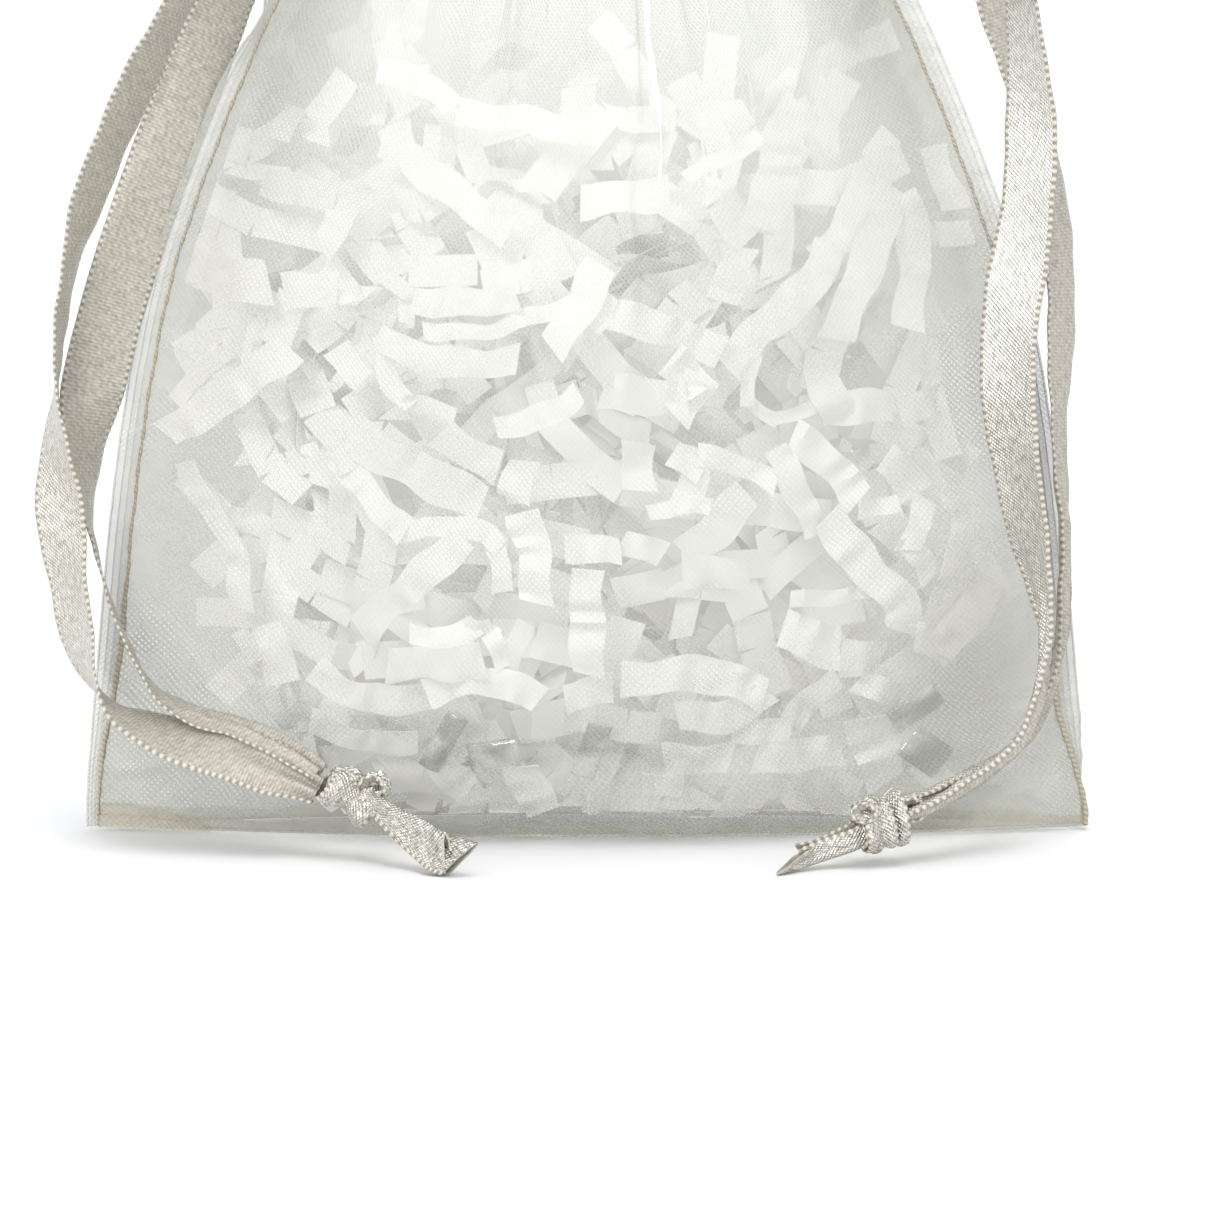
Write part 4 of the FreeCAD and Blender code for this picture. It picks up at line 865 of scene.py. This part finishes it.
for hand, sign in (("left", -1), ("right", 1)):
    # inside the casing: one U of bunched ribbon round the neck
    low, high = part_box(hand + "_ribbon_loop")
    zc = (low.z + high.z) / 2 / MM
    far = (high.x if sign < 0 else -low.x) / MM - 0.5
    r = 3.4
    pts = [(sign * 13.1, -r, zc), (sign * 12.0, -r, zc)]
    pts += [(sign * x, -r, zc) for x in np.linspace(10.5, -(far - r), 14)]
    pts += [(-sign * (far - r + r * math.sin(a)), -r * math.cos(a), zc) for a in np.linspace(0.15, math.pi - 0.15, 14)]
    pts += [(sign * x, r, zc) for x in np.linspace(-(far - r), 10.5, 14)]
    pts += [(sign * 12.0, r, zc), (sign * 13.1, r, zc)]
    P, s = closed_path(pts, 0.25)
    parts = Parts()
    band(parts, P, s, np.full(len(s), 0.0), np.full(len(s), 0.36), count=5, ref=(0.001, 0.0, 1.0), seed=sign, across=21, rough=0.04)
    piece = parts.object(hand + "_drawn_ribbon", RIBBON_MATS)
    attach(piece, hand + "_loop"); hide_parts(hand + "_ribbon_loop")

    # the knot: one broad wrap round the bundle, and the small loops that stand out of it
    parts = Parts()

    def ring(centre, along, up, tall, deep, width, narrow, shift=0.0, seed=0, count=3, start=0.0, end=360.0):
        d = np.array(along, float); d /= np.linalg.norm(d)
        a = np.array(up, float); a = a - d * (a @ d); a /= np.linalg.norm(a)
        b = np.cross(d, a)
        t = np.radians(np.linspace(start, end, 120))
        K = np.array(centre) + np.outer(np.cos(t) * tall, a) + np.outer(np.sin(t) * deep, b) + np.outer(shift * np.sin(t + 0.6), d)
        out = np.outer(np.cos(t) * deep, a) + np.outer(np.sin(t) * tall, b)
        q = np.concatenate([[0], np.cumsum(np.linalg.norm(np.diff(K, axis=0), axis=1))])
        band(parts, K, q, np.zeros(120), np.full(120, narrow), count=count, ref=out, seed=seed, across=17, rough=0.07, width=width)

    if sign < 0:
        ring((-22.9, -15.5, 6.4), (0.87, -0.05, -0.48), (0.48, 0, 0.87), 1.6, 1.45, 6.0, 0.86, 0.35, 1.0)
        ring((-23.3, -15.4, 7.7), (0.1, 1.0, 0.15), (0, 0, 1), 0.80, 1.15, 4.2, 0.42, 0.2, 2.0)
        ring((-20.5, -15.9, 7.3), (0.2, 1.0, 0.15), (0.3, 0, 1), 1.10, 1.0, 3.6, 0.40, 0.15, 3.0)
        ring((-20.6, -16.2, 6.2), (0.75, -0.45, -0.4), (0.46, 0, 0.87), 1.0, 1.0, 2.4, 0.5, 0.1, 4.0)
    else:
        ring((28.9, -17.2, 4.3), (0.95, 0.14, 0.22), (-0.1, 0, 1), 2.50, 1.75, 4.0, 0.86, 0.3, 1.5)
        ring((27.8, -17.8, 4.1), (0.93, 0.22, 0.28), (-0.2, 0, 1), 2.35, 1.95, 3.3, 0.88, 0.2, 5.5)
        ring((26.9, -19.7, 5.7), (0.15, 1.0, 0.1), (0, 0, 1), 0.75, 0.95, 3.0, 0.40, 0.12, 2.5)
        ring((31.5, -16.9, 5.5), (-0.2, 1.0, 0.1), (0.2, 0, 1), 0.80, 1.10, 3.4, 0.34, 0.2, 3.5)
        ring((26.6, -18.7, 3.6), (0.80, 0.48, 0.30), (-0.35, 0, 0.9), 1.30, 1.10, 1.5, 0.6, 0.1, 4.5)
    knot = parts.object(hand + "_knot_wraps", KNOT_MATS)
    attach(knot, hand + "_ribbon"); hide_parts(hand + "_knot")

    # tails: cut ends, folded over lengthwise
    if sign < 0:
        ends = {"upper": [(-21.4, -16.3, 6.9), (-19.6, -17.6, 5.7), (-17.3, -19.3, 4.2), (-15.1, -21.2, 3.0), (-13.2, -22.6, 2.4)],
                "lower": [(-21.6, -15.8, 6.4), (-19.6, -17.2, 5.0), (-16.8, -19.2, 3.3), (-14.1, -21.3, 2.1), (-11.9, -22.8, 1.7)]}
    else:
        ends = {"upper": [(28.2, -17.8, 4.0), (27.2, -18.3, 3.6), (25.4, -18.8, 2.9), (22.9, -19.1, 2.05), (20.6, -19.5, 1.5)],
                "lower": [(27.4, -18.0, 3.6), (25.5, -18.6, 2.6), (23.0, -19.0, 1.7), (20.9, -20.0, 1.1), (19.4, -21.1, 0.85)]}
    for which, keys in ends.items():
        P = curve_through(keys, 80)
        s = np.concatenate([[0], np.cumsum(np.linalg.norm(np.diff(P, axis=0), axis=1))])
        parts = Parts()
        q = s / s[-1]
        face = (-22 if which == "upper" else 14) * sign * -1
        band(parts, P, s, face * (0.3 + 0.7 * q), (0.30 + 0.72 * smooth(q * 1.1)) if sign < 0 else ((0.92 - 0.20 * q) if which == "upper" else (0.80 - 0.34 * q)), mode="double", cut=(0.8 if which == "upper" else -2.6) if sign < 0 else (0.9 if which == "upper" else -7.0), seed=3 + sign, across=21, width=7.6 if sign < 0 else 5.2)
        tail = parts.object(hand + "_cut_tail_" + which, KNOT_MATS)
        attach(tail, hand + "_ribbon"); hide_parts(hand + "_tail_" + which)

    for which in ("front", "back"):
        key = f"{hand}_strand_{which}"
        P, s = spline(ROUTES[key], 0.1875)
        parts = Parts()
        band(parts, P, s, keyed(s, TURN[key]), keyed(s, NARROW[key]), count=4, ref=STATION - P, seed=len(key) + sign)
        # the right front strand takes the satin copy with the painted highlight
        piece = parts.object(hand + "_satin_" + which, [satin_painted_highlight_mat if key == "right_strand_front" else satin_mat, reverse_mat, selvedge_mat])
        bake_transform(piece)
        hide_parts(key)

# ------------------------------------------------------------------ crinkle-cut paper
left_lim = pchip([0, 3, 8, 20, 40, 55, 70, 82, 92], [-24, -26, -33, -39, -42.5, -40, -34, -28, -20])
right_lim = pchip([0, 3, 8, 20, 40, 55, 70, 82, 92], [30, 33, 37, 38.5, 39.5, 37, 33, 27, 19])


def paper_strip(parts, centre, heading, lean, roll, width, lengths, bends, depth, side, skew=None, lift=None):
    """centre in mm; heading is the strip's direction in the picture plane, lean tips it in depth, bends are the fold angles."""
    d = np.array([math.cos(heading), 0.0, math.sin(heading)])
    n = np.array([0.0, -1.0, 0.0])
    w = np.cross(n, d)

    def turn(v, axis, a):
        return v * math.cos(a) + np.cross(axis, v) * math.sin(a) + axis * np.dot(axis, v) * (1 - math.cos(a))

    d, n = turn(d, w, lean), turn(n, w, lean)
    w, n = turn(w, d, roll), turn(n, d, roll)
    segs, p = [], np.zeros(3)
    for i, (L, b) in enumerate(zip(lengths, bends)):
        pts = []
        k = 5
        curl = 0.10 * math.sin(3.1 * i + centre[0] + centre[2])
        for q in range(k + 1):
            pts.append((p.copy(), w.copy()))
            if q < k:
                p = p + d * (L / k)
                d, n = turn(d, w, curl), turn(n, w, curl)
        segs.append(pts)
        d, n = turn(d, w, b), turn(n, w, b)
        if skew is not None:
            a = skew[i % len(skew)]
            d, w = turn(d, n, a), turn(w, n, a)
    mid = np.mean([q[0] for s in segs for q in s], axis=0)
    tone = int(abs(math.sin(centre[0] * 12.9 + centre[2] * 7.1)) * 2.99)
    run = 0.0
    for pts in segs:
        rows = []
        for q, ww in pts:
            a, b = centre + q - mid - ww * width / 2, centre + q - mid + ww * width / 2
            rows.append([a, (a + b) / 2, b])
        P = np.array(rows)
        P[..., 2] = np.maximum(P[..., 2], 0.9 + 0.15 * depth)
        R = room(P[..., 0], P[..., 2])
        limit = np.maximum(R - depth, 0.12)
        # strips that would poke through the cloth lie down along it instead
        y = P[..., 1]
        y = limit * np.tanh(y / limit * 1.15) if side == 0 else np.where(np.abs(y) > limit, np.sign(y) * (limit - 0.04 * np.tanh(np.abs(y) - limit)), y)
        P[..., 1] = y
        h = half(P[..., 2]) - 3.6
        P[..., 0] = np.clip(P[..., 0], -h, h)
        parts.grid(P, mat=tone)


heaps = {"lower": Parts(), "middle": Parts(), "upper": Parts()}


def heap_of(z):
    return "lower" if z < 32.2 else "middle" if z < 63.2 else "upper"


def scatter(count, depth_lo, depth_hi, side, lean_max, roll_max, wmin=2.9, wmax=3.9):
    made = 0
    while made < count:
        z = rng.uniform(3.5, 79.0)
        x = rng.uniform(-43, 40)
        if not left_lim(z) + 7 < x < right_lim(z) - 7:
            continue
        if z > 62 and rng.uniform() < (z - 62) / 17:
            continue
        depth = rng.uniform(depth_lo, depth_hi)
        y = side * max(room(x, z) - depth - rng.uniform(0, 1.2), 0.2)
        k = int(rng.integers(3, 6))
        lengths = rng.uniform(3.2, 8.0, k)
        bends = rng.choice([-1, 1]) * np.array([(-1) ** i for i in range(k)]) * rng.uniform(0.25, 1.25, k)
        paper_strip(
            heaps[heap_of(z)], np.array([x, y, z]), rng.uniform(0, 2 * np.pi), rng.uniform(-lean_max, lean_max), rng.uniform(-roll_max, roll_max),
            rng.uniform(wmin, wmax), lengths, bends, depth, side, skew=rng.uniform(-0.5, 0.5, k),
        )
        made += 1


def laid_strip(width, depth, points, seed):
    """A strip lying along the inside of the front cloth; it is folded where it turns sharply."""
    pts = np.array(points, float)
    # painted shade: strips lying deeper behind the cloth take the darkest paper
    tilt, bow, tone = rng.uniform(-0.28, 0.28), rng.uniform(-0.7, 0.7), int(rng.choice([0, 0, 0, 1, 1, 2])) if depth < 1.7 else 2
    runs, current = [], [pts[0]]
    for k in range(1, len(pts)):
        current.append(pts[k])
        if k < len(pts) - 1:
            a, b = pts[k] - pts[k - 1], pts[k + 1] - pts[k]
            angle = abs(math.degrees(math.atan2(a[0] * b[1] - a[1] * b[0], float(a @ b))))
            if angle > 38:
                runs.append(current); current = [pts[k]]
    runs.append(current)
    for r, run in enumerate(runs):
        run = [np.array(q, float) for q in run]
        reach = 0.30 * width
        if r > 0:
            d = run[0] - run[1]; run[0] = run[0] + d / np.linalg.norm(d) * reach
        if r < len(runs) - 1:
            d = run[-1] - run[-2]; run[-1] = run[-1] + d / np.linalg.norm(d) * reach
        C = curve_through(np.array([(q[0], q[1]) for q in run]), 6 * len(run)) if len(run) > 2 else np.linspace(run[0], run[1], 9)
        s0 = np.concatenate([[0], np.cumsum(np.linalg.norm(np.diff(C, axis=0), axis=1))])
        ss = np.linspace(0, s0[-1], max(int(s0[-1] / 0.45), 6))
        C = np.stack([np.interp(ss, s0, C[:, 0]), np.interp(ss, s0, C[:, 1])], -1)
        D = tangents(C)
        W = np.stack([-D[:, 1], D[:, 0]], -1)
        C = C + W * (0.16 * np.sin(ss * 1.1 + seed))[:, None]
        across = np.linspace(-0.5, 0.5, 5)
        wide = width * (1 + 0.09 * np.sin(ss * 0.7 + 2 * seed))[:, None]
        first, final = np.exp(-ss / 0.6), np.exp(-(ss[-1] - ss) / 0.6)
        slant = (0.28 * math.sin(seed * 2.3) * first + 0.28 * math.cos(seed * 1.7) * final)[:, None] * across[None, :] * width
        X = C[:, None, 0] + W[:, None, 0] * across[None, :] * wide + D[:, None, 0] * slant
        Z = np.maximum(C[:, None, 1] + W[:, None, 1] * across[None, :] * wide + D[:, None, 1] * slant, 0.9)
        t = np.linspace(-1, 1, len(C))[:, None]
        crease = np.arcsin(np.sin(ss * (1.5 + 0.7 * math.sin(seed * 5.1)) + seed * 3.0 + 1.3 * np.sin(ss * 0.9 + seed)))[:, None] * 0.14
        sag = depth + 0.22 * (r % 2) + (tilt * (1 if r % 2 else -1)) * across[None, :] * width + bow * t * t * 0.6 + 0.2 * np.sin(3.0 * t + seed) + crease + 0.8 * crease * np.sin(across * 4 + seed)[None, :]
        Y = -np.maximum(room(X, Z) - np.maximum(sag, 0.12), 0.12)
        parts = heaps[heap_of(float(C[:, 1].mean()))]
        # painted shade: every other folded run takes the next darker paper
        parts.grid(np.stack([X, Y, Z], -1), mat=tone if r % 2 == 0 else min(tone + 1, 2))


LAID = [
    (2.5, 1.2, [(-20.1, 75.9), (-15.8, 75.0), (-12.7, 72.5)]),
    (2.5, 0.8, [(-12.2, 72.0), (-5.8, 71.5), (-0.7, 70.2)]),
    (2.3, 1.5, [(-28.2, 72.2), (-30.0, 68.9)]),
    (2.9, 1.0, [(-31.5, 64.9), (-24.2, 63.6)]),
    (2.9, 1.6, [(-22.8, 63.6), (-25.6, 58.6)]),
    (3.2, 0.9, [(-19.5, 69.3), (-13.0, 64.9), (-7.3, 60.7)]),
    (4.0, 0.7, [(-34.6, 55.1), (-30.8, 55.3)]),
    (3.3, 1.0, [(-29.3, 54.5), (-23.9, 55.2)]),
    (1.6, 1.5, [(-24.0, 53.9), (-21.6, 54.9)]),
    (2.7, 0.6, [(-16.6, 54.2), (-11.4, 54.2), (-6.5, 54.6)]),
    (1.6, 2.0, [(-19.5, 56.8), (-17.0, 54.6), (-17.4, 51.5)]),
    (2.9, 0.7, [(-20.1, 50.8), (-16.1, 48.9), (-10.9, 48.4), (-6.4, 48.8)]),
    (1.8, 1.5, [(-19.6, 50.5), (-19.1, 46.9), (-17.2, 44.4), (-12.5, 43.2)]),
    (3.3, 1.1, [(-28.8, 49.1), (-35.4, 43.9), (-41.5, 39.7)]),
    (2.9, 1.6, [(-24.3, 49.2), (-21.1, 46.0)]),
    (2.3, 1.0, [(-8.6, 42.1), (-3.2, 43.7), (-0.7, 45.8)]),
    (1.6, 1.3, [(-15.6, 51.4), (-9.9, 51.3), (-5.8, 52.7), (-0.7, 54.3)]),
    (3.5, 0.6, [(30.1, 64.4), (28.3, 59.9), (24.1, 50.2)]),
    (3.2, 1.1, [(30.9, 63.8), (32.1, 58.6), (31.2, 50.8)]),
    (3.2, 1.8, [(27.5, 65.8), (25.6, 61.4), (22.5, 57.5)]),
    (4.0, 1.3, [(20.8, 72.6), (18.9, 69.3), (18.2, 64.8), (16.2, 60.8)]),
    (3.0, 0.7, [(15.2, 59.3), (12.9, 54.3)]),
    (3.2, 0.8, [(1.5, 57.9), (-0.7, 53.4), (-3.3, 49.9)]),
    (3.2, 1.0, [(-0.5, 63.8), (3.6, 64.2), (8.0, 64.5)]),
    (1.6, 1.0, [(9.5, 66.0), (12.9, 67.7), (17.0, 69.7)]),
    (3.1, 1.2, [(2.4, 53.1), (7.2, 51.8), (13.1, 49.4)]),
    (3.3, 0.9, [(8.0, 48.8), (10.6, 46.4), (8.8, 43.1)]),
    (1.4, 1.2, [(16.2, 48.8), (15.5, 44.5), (18.3, 42.7), (22.5, 43.9)]),
    (3.2, 1.0, [(22.5, 47.6), (24.0, 43.6), (29.6, 43.5)]),
    (2.9, 1.4, [(30.4, 42.9), (34.3, 43.5)]),
    (3.5, 1.4, [(23.8, 59.2), (21.4, 55.3), (16.5, 51.1), (13.7, 47.6)]),
    (3.5, 1.1, [(1.6, 45.8), (9.8, 44.9)]),
    (2.7, 1.5, [(0.1, 51.8), (3.0, 54.6)]),
    (2.7, 1.6, [(33.8, 68.2), (36.3, 62.0)]),
    (2.3, 0.9, [(-39.7, 37.1), (-37.9, 33.8), (-34.6, 29.3), (-33.8, 22.9)]),
    (2.7, 1.0, [(-27.0, 37.2), (-23.5, 38.5), (-21.7, 36.1), (-17.5, 31.7)]),
    (2.1, 1.3, [(-18.0, 31.8), (-11.5, 32.5), (-8.7, 30.9), (-7.9, 26.1)]),
    (3.2, 0.5, [(-11.8, 31.4), (-20.2, 23.6), (-22.1, 21.7)]),
    (4.0, 1.4, [(-23.0, 41.1), (-16.2, 37.7), (-9.9, 34.8)]),
    (3.2, 1.9, [(-14.1, 41.4), (-8.4, 38.1)]),
    (3.2, 0.9, [(-5.9, 39.1), (-7.0, 35.4)]),
    (3.3, 0.7, [(-6.1, 34.1), (-5.0, 30.2), (-4.8, 25.1)]),
    (3.5, 0.6, [(-19.4, 18.5), (-14.8, 18.8), (-9.9, 19.1)]),
    (2.1, 1.1, [(-17.1, 21.8), (-14.2, 21.2), (-11.1, 22.5), (-9.0, 21.5), (-7.8, 18.5)]),
    (1.9, 1.3, [(-7.5, 18.5), (-5.9, 23.1)]),
    (2.9, 2.4, [(-26.8, 17.3), (-22.0, 14.6), (-15.1, 14.9)]),
    (3.6, 1.3, [(-15.2, 8.7), (-11.6, 5.1)]),
    (3.6, 1.0, [(-6.5, 8.0), (-4.3, 2.8)]),
    (2.9, 1.0, [(-15.6, 15.7), (-9.8, 17.1), (-4.4, 15.4)]),
    (3.3, 1.8, [(-31.3, 21.7), (-29.7, 15.8)]),
    (2.1, 2.4, [(-27.9, 32.3), (-23.1, 29.1)]),
    (2.4, 2.2, [(-27.2, 12.0), (-21.9, 10.0), (-16.5, 10.2)]),
    (3.3, 0.5, [(0.1, 28.6), (0.1, 22.8), (0.2, 17.9)]),
    (3.5, 0.8, [(15.5, 35.7), (12.7, 32.4), (9.6, 29.9)]),
    (3.3, 0.6, [(9.3, 28.6), (12.9, 27.9), (15.6, 27.9)]),
    (2.7, 1.4, [(3.4, 31.2), (7.5, 29.8)]),
    (2.5, 0.9, [(18.3, 40.0), (20.5, 35.5), (22.5, 31.2)]),
    (3.2, 1.2, [(19.9, 41.0), (23.4, 38.5), (26.6, 34.4)]),
    (1.9, 1.5, [(26.6, 33.3), (30.6, 34.0)]),
    (3.5, 0.6, [(23.4, 33.1), (26.6, 28.6), (30.9, 23.8), (31.1, 21.1)]),
    (3.0, 0.6, [(36.4, 35.4), (37.2, 30.7), (36.1, 25.7)]),
    (2.5, 1.2, [(33.4, 34.1), (31.8, 29.8), (33.9, 26.1)]),
    (3.5, 1.0, [(32.4, 20.6), (35.4, 19.3), (38.9, 23.3), (40.0, 25.8)]),
    (1.6, 0.8, [(19.8, 25.0), (24.5, 25.1), (28.8, 25.5)]),
    (3.5, 0.9, [(3.4, 17.2), (11.5, 17.7), (17.5, 15.5)]),
    (3.2, 0.6, [(17.6, 15.8), (14.1, 13.4), (8.9, 13.4)]),
    (2.4, 0.8, [(14.4, 11.7), (19.4, 11.5), (21.8, 14.5), (24.6, 16.9)]),
    (3.8, 1.0, [(24.9, 18.9), (29.0, 18.3)]),
    (4.0, 1.4, [(19.2, 22.2), (22.5, 20.4), (24.9, 19.7)]),
    (3.5, 0.9, [(16.6, 8.8), (25.2, 9.1)]),
    (3.3, 0.7, [(7.6, 8.8), (14.3, 8.7)]),
    (2.5, 0.9, [(5.5, 5.9), (9.6, 5.9)]),
    (4.3, 0.7, [(27.4, 12.5), (29.8, 5.5)]),
    (4.0, 1.2, [(29.3, 10.1), (32.9, 7.8)]),
    (3.1, 1.2, [(-2.1, 15.2), (2.6, 16.6)]),
    (2.7, 1.0, [(8.3, 39.8), (10.6, 38.5), (9.8, 34.8)]),
    (2.1, 1.3, [(10.8, 39.5), (14.2, 38.7), (18.4, 36.4)]),
    (3.3, 1.5, [(4.9, 40.8), (5.2, 36.1)]),
    (1.6, 0.9, [(6.0, 33.9), (9.3, 34.7), (12.1, 34.4)]),
    (2.7, 1.1, [(-2.0, 30.7), (3.4, 30.2)]),
    (2.7, 1.3, [(26.8, 16.4), (31.0, 14.0)]),
    (3.2, 1.8, [(29.2, 38.5), (32.5, 34.6)]),
]
for number, (width, depth, points) in enumerate(LAID):
    laid_strip(width, depth, points, float(number))

scatter(95, 3.0, 6.0, -1, 0.5, 0.6)
scatter(95, 5.0, 10.0, -1, 0.8, 1.0)
scatter(60, 7.0, 16.0, -1, 1.0, 1.2)
scatter(60, 4.0, 9.0, 1, 0.8, 1.0)
scatter(90, 0.9, 4.5, 1, 0.4, 0.6)

for name, parts in heaps.items():
    piece = parts.object("shredded_paper_" + name, paper_mats)
    thick = piece.modifiers.new("thickness", "SOLIDIFY")
    thick.thickness = 0.00011
    thick.offset = 0.0
    crisp = piece.modifiers.new("crisp_edges", "EDGE_SPLIT")
    crisp.split_angle = math.radians(38)
    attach(piece, "pouch"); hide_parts("paper_fill_" + name)

# glossy film strips, a few, low down near the front
parts = Parts()
for x, z, length, tilt, bend, wide in ((-14, 10.5, 6.5, 62, 1.2, 2.2), (-9.0, 9.3, 5, 10, -0.9, 3.0), (0.5, 9.8, 6, 72, 1.0, 2.4), (32.5, 13.2, 5.5, 32, 1.6, 2.6), (33.6, 8.6, 4.6, -38, 0.5, 3.6), (-10.5, 7.5, 4.0, -62, -1.2, 1.2)):
    t = np.linspace(-0.5, 0.5, 19)
    a = math.radians(tilt)
    d = np.array([math.cos(a), 0, math.sin(a)]); w = np.array([-math.sin(a), 0, math.cos(a)])
    base = np.array([x, 0, z]) + np.outer(t * length, d)
    wv = np.linspace(-wide / 2, wide / 2, 9)
    P = base[:, None, :] + wv[None, :, None] * w
    roll = bend * (wv / wide * 2) ** 2 * 0.9
    P[..., 1] = -np.maximum(room(P[..., 0], P[..., 2]) + 0.12, 0.2) + 0.5 * np.abs(bend) * np.abs(t)[:, None] + 0.45 * np.abs(roll)[None, :] + 0.12 * (1 + np.sin(wv * 2.4 + x))[None, :]
    parts.grid(P)
piece = parts.object("film_curls", [film_mat])
thick = piece.modifiers.new("thickness", "SOLIDIFY"); thick.thickness = 0.00006; thick.offset = 0.0
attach(piece, "pouch"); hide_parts("film_strips")

# ------------------------------------------------------------------ floor and light
floor_mesh = bpy.data.meshes.new("floor")
n = 24
vals = [((i / n * 2 - 1) * 14.0, (j / n * 2 - 1) * 14.0, -0.00005) for j in range(n + 1) for i in range(n + 1)]
floor_mesh.from_pydata(vals, [], grid_faces(n + 1, n + 1))
floor = bpy.data.objects.new("floor", floor_mesh)
scene.collection.objects.link(floor)
m = Mat("studio_floor")
m.link(m.mix(m.noise(3.0, 2.0), (0.93, 0.93, 0.935, 1), (0.95, 0.95, 0.955, 1)), m.b.inputs["Base Color"])
m.put("Roughness", 0.7)
m.put("Specular IOR Level", 0.2)
floor_mesh.materials.append(m.m)
floor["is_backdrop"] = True

world = bpy.data.worlds.new("studio")
scene.world = world
world.use_nodes = True
world.node_tree.nodes["Background"].inputs[0].default_value = (0.97, 0.985, 1.0, 1)
world.node_tree.nodes["Background"].inputs[1].default_value = 1.0


def sun(name, azimuth, height, strength, angle, colour=(1, 1, 1)):
    """azimuth 0 comes from the camera's side, positive from its right."""
    data = bpy.data.lights.new(name, "SUN")
    data.energy = strength
    data.angle = math.radians(angle)
    data.color = colour
    obj = bpy.data.objects.new(name, data)
    scene.collection.objects.link(obj)
    a, e = math.radians(azimuth), math.radians(height)
    away = Vector((math.sin(a) * math.cos(e), -math.cos(a) * math.cos(e), math.sin(e)))
    obj.rotation_euler = away.to_track_quat("Z", "Y").to_euler()
    obj.location = away * 2
    return obj


key = sun("key", -36, 46, 1.05, 24)
fill = sun("fill", 42, 24, 0.42, 50)
front = sun("front_softbox", -16, 14, 0.80, 14)
overhead = sun("table_light", 15, 70, 1.0, 30)

# the table has its own overhead light; the others light the pouch only
off_table = bpy.data.collections.new("not_the_table")
off_table.objects.link(floor)
off_table.collection_objects[0].light_linking.link_state = "EXCLUDE"
on_table = bpy.data.collections.new("the_table")
on_table.objects.link(floor)
for lamp in (key, fill, front):
    lamp.light_linking.receiver_collection = off_table
overhead.light_linking.receiver_collection = on_table

# thin white paper passes most of the light on, so the strips in front take none of the front light from those behind
passes = bpy.data.collections.new("passes_light")
for name in ("lower", "middle", "upper"):
    passes.objects.link(bpy.data.objects["shredded_paper_" + name])
for item in passes.collection_objects:
    item.light_linking.link_state = "EXCLUDE"
front.light_linking.blocker_collection = passes

low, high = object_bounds()
